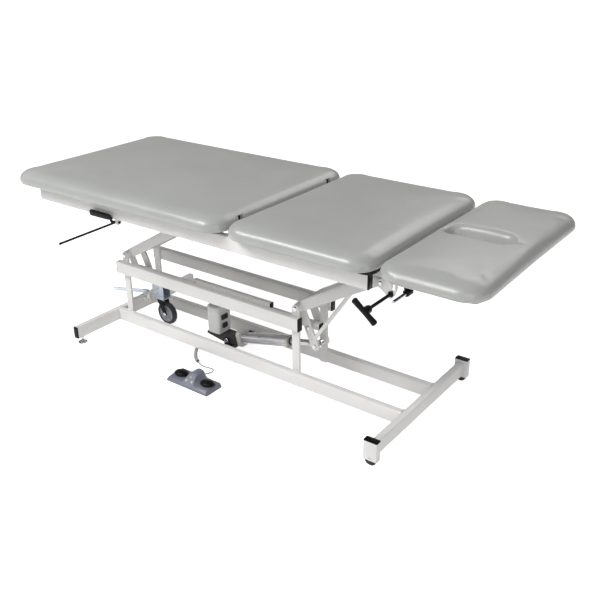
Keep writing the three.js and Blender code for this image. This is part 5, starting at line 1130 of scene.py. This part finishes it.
def add_head_controls():
    with Piece("release_cross_bar", STEEL, "head_lever", "head_release_bar") as bm:
        half = [(0, -65), (2.6, -64.6), (4.3, -63.2), (5, -61)]
        lathe(bm, mirrored(half), (CROSS_BAR_X, -280, CROSS_BAR_Z), Y_AXIS, 28)
    with Piece("release_hub", BLACK, "head_lever", bevel=0.5) as bm:
        half = [(5.1, -13), (9.6, -13), (11, -11.6), (11, -3.5), (10.2, -2.6)]
        lathe(bm, mirrored(half), (CROSS_BAR_X, RELEASE_Y, CROSS_BAR_Z), Y_AXIS, 36)
        plate(bm, link_outline(RELEASE_X, RELEASE_Z, 688, 596, 13.6), 7.6, RELEASE_Y,
              [circle(RELEASE_X, RELEASE_Z, 2.9)])

    def girth(share):
        d = abs(share - 0.5) * 2 * TEE_HALF
        end = max(0.0, (d - 41) / 5)
        return max(0.4, (8.6 + 1.4 * min(1.0, d / 40) ** 2) * math.sqrt(max(0.0, 1 - 0.75 * end ** 2)))

    with Piece("clamp_tee", BLACK, "clamp_screw", "clamp_handle") as bm:
        ends = [(CLAMP_X + d * math.cos(TEE_TILT), TEE_Y, CLAMP_Z + d * math.sin(TEE_TILT))
                for d in (-TEE_HALF, TEE_HALF)]
        sweep(bm, resample(ends, 2.0), girth, 24)
        for vertex in bm.verts:
            vertex.co.y = TEE_Y + (vertex.co.y - TEE_Y) * 0.82
        boss = [(0, -1), (9, -1), (11, 1.5), (11.8, 6), (11.8, 20), (10.6, 24), (8.2, 26), (5.2, 26.3), (0, 26.3)]
        lathe(bm, boss, (CLAMP_X, TEE_Y, CLAMP_Z), Y_AXIS, 32)
        stem = [(0, 20), (5, 20), (5, 134), (9, 137.2), (9, 139.2), (4, 139.2), (4, 152.6), (3.4, 153), (0, 153)]
        lathe(bm, stem, (CLAMP_X, TEE_Y, CLAMP_Z), Y_AXIS, 28)


add_head_controls()

# Long section release lever
GRIP_Y, GRIP_Z = -334.5, 600.0
ROD_X, ROD_Y, ROD_Z = -462.8, -308.8, 577.2
ROD_TIP = (-480, -548, 564)


def add_release_lever():
    stations = ((-572, 0.30), (-571.4, 0.62), (-569.6, 0.84), (-566, 0.97), (-558, 1.0), (-540, 0.95), (-524, 0.98),
                (-508, 0.93), (-492, 0.96), (-478, 0.88), (-469, 0.8), (-465.4, 0.72), (-464, 0.5))
    with Piece("release_grip", BLACK, "section_lever", "release_lever") as bm:
        stack(bm, lambda x, a, b: (x, GRIP_Y + a, GRIP_Z + b),
              [(x, 14 * size, 24 * size, 6.8 * size) for x, size in stations], 6)
    with Piece("release_rods", BLACK_PAINT, "section_lever") as bm:
        pivot, tip = Vector((ROD_X, ROD_Y, ROD_Z)), Vector(ROD_TIP)
        knee = [pivot, (ROD_X, -328.5, 583.0), (ROD_X, -332.6, 585.4), (ROD_X, -334.3, 589.4), (ROD_X, GRIP_Y, GRIP_Z)]
        sweep(bm, curve_through(knee, 6), 4.9, 20)
        cylinder(bm, (-470, GRIP_Y, 597), (-458.4, GRIP_Y, 597), 5.6, 0.8, 24)
        head = (-450.5, ROD_Y, ROD_Z)
        cylinder(bm, pivot, head, 3, 0.4, 20)
        lathe(bm, [(0, 0), (5, 0), (5, 1.0), (3.2, 1.9), (0, 2.0)], head, X_AXIS, 20)
        lathe(bm, [(0, -6), (6.4, -6), (7.2, -5), (7.2, 0.6), (6.4, 1.6), (0, 1.6)], pivot, X_AXIS, 28)
        sweep(bm, resample([pivot, tip], 6), lambda share: 3.9 if share < 0.985 else 2.9, 18)
        lathe(bm, [(0, -9), (3.9, -9), (4.4, -7.6), (4.4, 0.4), (3.2, 2.2), (0, 3.0)], tip, tip - pivot, 20)


add_release_lever()


# Actuator, drawn along its own axis from the rear pivot
def along(s, y, h):
    c, d = math.cos(ACT_A), math.sin(ACT_A)
    return (ACT_X + s * c - h * d, MECH_Y + y, ACT_Z + s * d + h * c)


ACT_WAY = Vector(along(1, 0, 0)) - Vector(along(0, 0, 0))


def grooved(width, depth, corner, groove, sink, steps=5):
    """Extruded profile: a rounded rectangle with one shallow groove along each face."""
    points = rounded_rect(width, depth, corner, steps)
    count = steps + 1
    out = []
    for index in range(4):
        out.extend(points[index * count:(index + 1) * count])
        a, b = Vector(points[(index + 1) * count - 1]), Vector(points[((index + 1) * count) % len(points)])
        middle, way = (a + b) / 2, (b - a).normalized()
        inward = Vector((-way.y, way.x))
        for shift, sunk in ((-groove, 0), (-groove * 0.6, sink), (groove * 0.6, sink), (groove, 0)):
            out.append(tuple(middle + way * shift / 2 + inward * sunk))
    return out


def add_gearbox():
    outline = [*arc_points(0, 0, 18, -90, -36, 8), (45.5, -9), (45.5, 21), *bend((45.5, 21), (15.3, 21), (0, 12), 8),
               (-98, 12), *arc_points(-98, 4, 8, 90, 216, 10)]
    with Piece("gear_housing", DARK, "actuator_body", "actuator_gearbox", bevel=2.2, segments=3) as bm:
        plate(bm, [(ACT_X + x, ACT_Z + z) for x, z in outline], 60, MECH_Y)
    with Piece("gear_boss_rings", DARK, "actuator_body") as bm:
        for s in (-1, 1):
            profile = [(6.6, 0), (6.6, 0.9), (9, 1.0), (9.6, 0.5), (11, 0.5), (11.9, 0.9), (11.9, 0)]
            lathe(bm, profile, (ACT_X, MECH_Y + s * 30, ACT_Z), (0, s, 0), 36)
            for x, z in ((-88, 4), (-58, 4), (-26, 4), (30, 12)):
                lathe(bm, [(0, 0), (3.6, 0), (3.6, 0.7), (2.6, 0.9), (1.7, 0.3), (0, 0.3)],
                      (ACT_X + x, MECH_Y + s * 30, ACT_Z + z), (0, s, 0), 16)
    with Piece("mounting_collar", BEIGE, "actuator_body", slot="dark_plastic") as bm:
        stack(bm, along, [(46, 55, 61, 14), (47, 57.4, 63.4, 15.6), (48.2, 58, 64, 16), (53, 58, 64, 16),
                          (53.8, 55.6, 61.6, 15), (56, 55.6, 61.6, 15), (56.8, 58, 64, 16), (62, 58, 64, 16),
                          (63.2, 56.8, 62.8, 15.4), (64, 54, 60, 14)], 5)
    folds = []
    for i in range(7):
        s, wide, deep = 33 + 2.0 * i, 50 + 0.6 * i, 40 + 0.8 * i
        folds += [(s, 44, 37, 12), (s + 0.6, wide, deep, 14), (s + 1.3, wide, deep, 14)]
    with Piece("rubber_bellows", RUBBER, "actuator_body", slot="dark_plastic") as bm:
        stack(bm, along, [*folds, (46.4, 44, 40, 12)], 5)


def add_motor():
    x, y, right, low, top = -256.0, MECH_Y, -224.0, 88.4, 204.3
    with Piece("motor_case", PALE, "actuator_body", "actuator_motor") as bm:
        stack(bm, lambda z, a, b: (x + a, y + b, z), [
            (low, 58, 70, 9), (low + 1.2, 61, 73, 11), (low + 14, 61, 73, 11), (low + 15, 59, 71, 10.4),
            (low + 16.4, 59, 71, 10.4), (low + 17.4, 62.6, 74.6, 12), (top - 26, 63.4, 75.4, 12.6),
            (top - 25, 61.4, 73.4, 11.8), (top - 23.6, 61.4, 73.4, 11.8), (top - 22.6, 64, 76, 12.8),
            (top - 9, 64, 76, 12.8), (top - 4.2, 62, 74, 11.8), (top - 1.4, 57, 69, 10), (top - 0.2, 50, 62, 8)], 6)
        for s in (-1, 1):
            for rib_x in range(-18, 19, 9):
                ends = [(x + rib_x, y + s * 37.0, low + 26), (x + rib_x, y + s * 37.4, top - 34)]
                sweep(bm, resample(ends, 6), tapered(1.5, 0.3, 9), 10)
    with Piece("motor_sockets", DARK, "actuator_body", bevel=0.4) as bm:
        for z, wide in ((122, 26), (158, 34)):
            stack(bm, lambda h, a, b: (right + h, y - 6 + a, z + b), [
                (-2, wide, 20, 3), (5.4, wide, 20, 3), (6.6, wide - 2.4, 17.6, 2.2), (6.6, wide - 6, 14, 2),
                (2.6, wide - 6.6, 13.4, 2)])
            for k in (-6.6, 0, 6.6):
                stack(bm, lambda h, a, b: (right + h, y - 6 + k + a, z + b),
                      [(h, w, w, 1.0) for h, w in ((2, 4.4), (9.2, 4.4), (10, 3.4))], 2)
    with Piece("motor_screws", STEEL, "actuator_body") as bm:
        for sx in (-1, 1):
            for sy in (-1, 1):
                lathe(bm, [(0, -0.3), (3.2, -0.3), (3.2, 0.4), (2.4, 1.1), (1.4, 1.3), (1.2, 0.5), (0, 0.5)],
                      (x + sx * 17, y + sy * 23, top - 0.2), Z_AXIS, 18)


def add_tube_and_rod():
    outline = grooved(44, 36, 9, 7, 1.3)
    bore = [Vector(p).normalized() * 11.4 for p in outline]
    with Piece("outer_profile", ALLOY, "actuator_body", "actuator_tube", bevel=0.25) as bm:
        ends = ((64.5, outline), (285, outline), (285, bore), (64.5, bore))
        connect(bm, [ring_of(bm, [along(s, p[0], p[1]) for p in points]) for s, points in ends], loop=True)
    start, end = 285.1, 295
    hole = [Vector(p).normalized() * 11.5 for p in rounded_rect(47, 39, 9, 5)]
    sections = ((start, 44, 36, 9), (start, 46, 38, 9.4), (286, 47, 39, 9.8), (292.4, 47, 39, 9.8),
                (294.4, 45, 37, 9), (end, 42, 34, 8))
    rings = [(s, rounded_rect(w, d, corner, 5)) for s, w, d, corner in sections] + [(end, hole), (start, hole)]
    with Piece("end_collar", BEIGE, "actuator_body", slot="anodised") as bm:
        connect(bm, [ring_of(bm, [along(s, p[0], p[1]) for p in points]) for s, points in rings], loop=True)
    with Piece("rod_wiper", RUBBER, "actuator_body", slot="dark_plastic") as bm:
        lathe(bm, [(11.05, 0), (14.5, 0), (14.5, 1.6), (12.6, 2.8), (11.3, 3.4), (11.05, 2.6)], along(294.6, 0, 0),
              ACT_WAY, 36)
    with Piece("piston_rod", STEEL, "actuator_piston", "actuator_rod") as bm:
        profile = [(0, 151), (10.9, 151), (10.9, 404), (9.4, 405), (9.4, 408), (10.9, 409), (10.9, 414), (8.0, 418),
                   (0, 418)]
        lathe(bm, profile, along(0, 0, 0), ACT_WAY, 36)
        lathe(bm, mirrored([(6.5, -7.9), (13, -7.9), (13.9, -7)]), along(ACT_END, 0, 0), Y_AXIS, 40)


add_gearbox()
add_motor()
add_tube_and_rod()

# Drop-down caster
MOUNT_X, MOUNT_Z, GUIDE_X = -700.0, 110.0, -762.0
PEDAL_X, PEDAL_Y, PEDAL_Z = -650.0, -34.0, 154.0
STEM_X, WHEEL_X, WHEEL_Z = -598.0, -574.0, 62.0


def add_caster_mount():
    with Piece("lever_guide", PAINT, "base", bevel=0.6) as bm:
        plate(bm, rounded_rect(30.6, 63.8, 5, 4), 4.8, 0, [rounded_rect(9.8, 47.6, 4.6, 5)])
        for vertex in bm.verts:
            a, t, b = vertex.co
            vertex.co = (GUIDE_X + t, PEDAL_Y + a, 118.5 + b)
    with Piece("caster_cross_bar", PAINT, "base", "caster_mount", bevel=0.7) as bm:
        tube(bm, (MOUNT_X, -82.2, MOUNT_Z), (MOUNT_X, 82.2, MOUNT_Z), 20, 20, 3.0, 1.8)
        block(bm, (-692, -11.5, 116.2), (-630.4, 11.5, 128.8))
        back = [(-23, 116.2), (23, 116.2), (23, 184), (19, 188), (-19, 188), (-23, 184)]
        loft(bm, [[(x, y, z) for y, z in back] for x in (-630.4, -626.7)])
        block(bm, (-764.4, -51.8, 105.2), (-702, -46.9, 114.8))
        block(bm, (-700, -30.6, 105.2), (-648, -25.8, 114.8))
        left, right = PEDAL_X - 6.3, PEDAL_X + 6.3
        ear = [(left, 108), (right, 108), (right, PEDAL_Z), *arc_points(PEDAL_X, PEDAL_Z, 6.3, 0, 180, 14),
               (left, PEDAL_Z)]
        plate(bm, ear, 4.8, -28.2, [circle(PEDAL_X, PEDAL_Z, 3.1)])
        for s in (-1, 1):
            weld(bm, [(MOUNT_X + 10.4, s * 11.7, 116), (MOUNT_X + 10.4, s * 11.7, 120)], 1.4)
            weld_round(bm, (MOUNT_X, s * 81.8, MOUNT_Z), Y_AXIS, 20, 20, radius=1.4)
    with Piece("lever_pivot_pin", STEEL, "base") as bm:
        cylinder(bm, (PEDAL_X, -38.6, PEDAL_Z), (PEDAL_X, -23.8, PEDAL_Z), 3, 0.4, 20)
        lathe(bm, [(0, 0), (5.4, 0), (5.4, 1.0), (3.6, 2.0), (0, 2.1)], (PEDAL_X, -38.0, PEDAL_Z), (0, -1, 0), 20)


def add_foot_lever():
    start, stop = Vector((PEDAL_X, PEDAL_Y, PEDAL_Z)), Vector((-857, PEDAL_Y, 112))
    with Piece("caster_foot_lever", ZINC, "caster_pedal", "foot_lever", slot="zinc_steel", bevel=0.8) as bm:
        plate(bm, link_outline(start.x, start.z, stop.x, stop.z, 15.8), 5.6, PEDAL_Y, [circle(start.x, start.z, 3.4)])
        for s in (-1, 1):
            rib = [start.lerp(stop, share) + Vector((0, s * 2.4, 0)) for share in (0.12, 0.93)]
            sweep(bm, resample(rib, 8), tapered(1.4, 0.2, 12), 8)


def add_carriage():
    x0, x1, low, top = -626.0, -570.0, 126.4, 187.9
    outer, inner, web = 22.9, 19.1, x0 + 4.0
    with Piece("caster_slide_channel", ZINC, "caster_slide", "caster_carriage", slot="zinc_steel", bevel=0.8) as bm:
        outline = [(x0, -outer), (x1, -outer), (x1, -inner), (web, -inner), (web, inner), (x1, inner), (x1, outer),
                   (x0, outer)]
        loft(bm, [[(x, y, z) for x, y in outline] for z in (low, top)])
        block(bm, (x0 + 0.4, -22.4, low), (x1, 22.4, low + 3.8))
        for s in (-1, 1):
            for z in (150, 172):
                lathe(bm, [(0, 0), (5, 0), (5, 0.8), (3.4, 2.2), (0, 2.6)], (STEM_X, s * 22.8, z), (0, s, 0), 20)
    with Piece("stem_nut", STEEL, "caster_slide", slot="zinc_steel") as bm:
        hexagon(bm, (STEM_X, 0, 130.2), Z_AXIS, 19, 8)


def add_fork_and_wheel():
    with Piece("swivel_fork", BLACK_PAINT, "caster_swivel_fork", "caster_fork", slot="bright_steel", bevel=0.9) as bm:
        lathe(bm, [(0, 118), (20.6, 118), (22.4, 119.6), (22.4, 122.2), (21, 124), (16, 124.2), (0, 124.2)],
              (STEM_X, 0, 0), Z_AXIS, 40)
        leg = [(STEM_X - 15.5, 119), (STEM_X + 18, 119), (WHEEL_X + 8, WHEEL_Z),
               *arc_points(WHEEL_X, WHEEL_Z, 8, 0, -180, 14)[1:-1], (WHEEL_X - 8, WHEEL_Z)]
        for s in (-1, 1):
            plate(bm, leg, 2.8, s * 16.5)
    with Piece("fork_axle", STEEL, "caster_swivel_fork") as bm:
        pin_y(bm, WHEEL_X, 0, WHEEL_Z, 18.6, 3.9)
        for s in (-1, 1):
            hexagon(bm, (WHEEL_X, s * 17.9, WHEEL_Z), (0, s, 0), 13, 1.2)
        cylinder(bm, (STEM_X, 0, 123), (STEM_X, 0, 139), 6.9, 0.8, 24)
    with Piece("caster_tread", RUBBER, "caster_roller", "caster_wheel") as bm:
        half = [(36.2, -9.8), (38, -10.6), (44, -10.4), (47.6, -8.4), (49.2, -5.4), (49.9, -1.6)]
        lathe(bm, mirrored(half), (WHEEL_X, 0, WHEEL_Z), Y_AXIS, 56)
    with Piece("caster_hub", HUB, "caster_roller", slot="pale_plastic") as bm:
        half = [(4.5, -11.8), (10, -11.8), (11.4, -10.8), (14, -7.0), (31.6, -6.2), (33.4, -9.2), (35.0, -9.8),
                (36.4, -9.4)]
        lathe(bm, mirrored(half), (WHEEL_X, 0, WHEEL_Z), Y_AXIS, 48)
        for t in round_angles(7):
            for s in (-1, 1):
                sweep(bm, [(WHEEL_X + r * math.cos(t), s * y, WHEEL_Z + r * math.sin(t))
                           for r, y in ((10.5, 8.6), (20, 6.9), (33, 7.2))], 2.1, 10)


add_caster_mount()
add_foot_lever()
add_carriage()
add_fork_and_wheel()

# Foot switch
SWITCH_X, SWITCH_Y, SWITCH_HALF = -162.0, -284.0, 102.0
TOE_HEIGHT, TOE_DEPTH, TOE_SLOPE = 8.0, 42.0, 0.7238
PEDAL_SPACING = 65.0


def toe_height(y):
    """The height of the switch's sloping front, y from its middle."""
    return TOE_HEIGHT + (y + TOE_DEPTH) * TOE_SLOPE


def switch_outline():
    half, hump, tray, tall = SWITCH_HALF, 23.0, 16.0, 44.0
    foot, side = hump * 1.6, (hump * 0.8, tall * 0.86)
    flank = [(half, 0.2), (half - 1.4, 3.2), (half - 6.4, tray - 2.2), (half - 8.4, tray)]
    right = bend((foot, tray), (hump, tray), side, 8)
    crown = bend(side, (0, tall * 1.14), (-side[0], side[1]), 12)
    left = bend((-side[0], side[1]), (-hump, tray), (-foot, tray), 8)
    return [(-half, 0.2), *flank, (foot, tray), *right, *crown, *left, *[(-x, z) for x, z in reversed(flank[1:])]]


def add_switch():
    outline = switch_outline()
    ends = ((-42, 1.6), (-41.2, 0.6), (-39.6, 0), (-30, 0), (-20, 0), (-10, 0), (0, 0), (7, 0), (9.6, 0), (14, 0),
            (39.6, 0), (41.2, 0.6), (42, 1.6))
    with Piece("switch_case", SWITCH, "base", "switch_housing", bevel=0.5, angle=40) as bm:
        loft(bm, [[(SWITCH_X + x * (1 - shrink / SWITCH_HALF), SWITCH_Y + y,
                    max(0.2, min(z, toe_height(y)) - shrink * (z > 1))) for x, z in outline] for y, shrink in ends])
        for s in (-1, 1):
            x = SWITCH_X + s * PEDAL_SPACING
            stack(bm, lambda z, a, b: (x + a, SWITCH_Y + 22 + b, z),
                  [(14, 24, 5.6, 1.4), (18.6, 24, 5.6, 1.4), (19.6, 22.6, 5.6, 1.4)], 3)
            rim = [(a, 4 + b) for a, b in rounded_rect(64, 52, 20, 8)]
            sweep(bm, [(x + a, SWITCH_Y + b, 16.1) for a, b in rim if toe_height(b) > 16.3], 0.9, 8)
    for name, s in (("left", -1), ("right", 1)):
        x, y, low = SWITCH_X + s * PEDAL_SPACING, SWITCH_Y + 4, 20.1
        levels = [(0.9, 0)] + [(math.cos(math.pi / 2 * k / 11), math.sin(math.pi / 2 * k / 11)) for k in range(11)]
        with Piece(f"pedal_dome_{name}", BLACK, f"{name}_pedal", f"pedal_{name}") as bm:
            loft(bm, [[(x + 29 * share * math.cos(a), y + 23 * share * math.sin(a), low + 12.8 * rise)
                       for a in round_angles(40)] for share, rise in levels])
    slope = math.atan(TOE_SLOPE)
    rise, up = Vector((0, math.cos(slope), math.sin(slope))), Vector((0, -math.sin(slope), math.cos(slope)))
    with Piece("switch_inlays", LABEL, "base", slot="switch_plastic") as bm:
        for dx, dy, size in ((-13, -24, 9.0), (-2.6, -11, 6.0), (13, -24, 9.0)):
            centre = Vector((SWITCH_X + dx, SWITCH_Y + dy, toe_height(dy)))
            stack(bm, lambda h, a, b: centre + Vector(X_AXIS) * a + rise * b + up * h,
                  [(h, w, w, 1.2) for h, w in ((-0.4, size), (0.5, size), (0.8, size - 0.8))], 3)


add_switch()

# Stage and light
FLOOR_SIZE, FLOOR_DROP, FLOOR_GLOW = 60, 0.0005, 0.80
STUDIO_LEVEL = 0.27


def seen_by(tree, *rays):
    """1 for rays of these kinds."""
    path = tree.nodes.new("ShaderNodeLightPath").outputs
    value = path[rays[0]]
    for ray in rays[1:]:
        value = add_node(tree, "ShaderNodeMath", "Value", {0: value, 1: path[ray]}, operation="MAXIMUM")
    return value


def add_stage():
    n = Nodes("floor")
    seen = seen_by(n.tree, "Is Camera Ray", "Is Glossy Ray", "Is Transmission Ray")
    glow = n.add("Math", "Value", {0: seen, 1: FLOOR_GLOW}, operation="MULTIPLY")
    n.finish((0.86, 0.86, 0.86, 1), 0.9, Emission_Color=(1, 1, 1, 1), Emission_Strength=glow)
    bpy.ops.mesh.primitive_plane_add(size=FLOOR_SIZE, location=(0, 0, -FLOOR_DROP))
    floor = bpy.context.object
    floor.name = "stage_floor"
    floor.data.materials.append(n.material)


def add_world():
    world = bpy.data.worlds.new("studio")
    world.use_nodes = True
    tree = world.node_tree
    level = add_node(tree, "ShaderNodeMapRange", "Result",
                     {"Value": seen_by(tree, "Is Camera Ray", "Is Transmission Ray"), "To Min": STUDIO_LEVEL,
                      "To Max": 1.0})
    fill_inputs(tree, tree.nodes["Background"], {"Color": (1, 1, 1, 1), "Strength": level})
    scene.world = world


def add_lamp(name, place, target, size, power):
    data = bpy.data.lights.new(name, "AREA")
    data.shape = "RECTANGLE"
    data.size, data.size_y = size
    data.energy = power
    lamp = bpy.data.objects.new(name, data)
    scene.collection.objects.link(lamp)
    lamp.location = place
    lamp.rotation_euler = (Vector(target) - Vector(place)).to_track_quat("-Z", "Y").to_euler()


add_stage()
add_world()
add_lamp("key", (-1.5, -2.3, 3.3), (0.0, 0.0, 0.5), (2.4, 1.0), 112)
add_lamp("fill", (2.6, -2.4, 1.6), (0.0, 0.0, 0.35), (2.4, 2.0), 28)
add_lamp("back", (0.4, 3.2, 3.2), (0.0, 0.1, 0.6), (3.2, 1.4), 34)
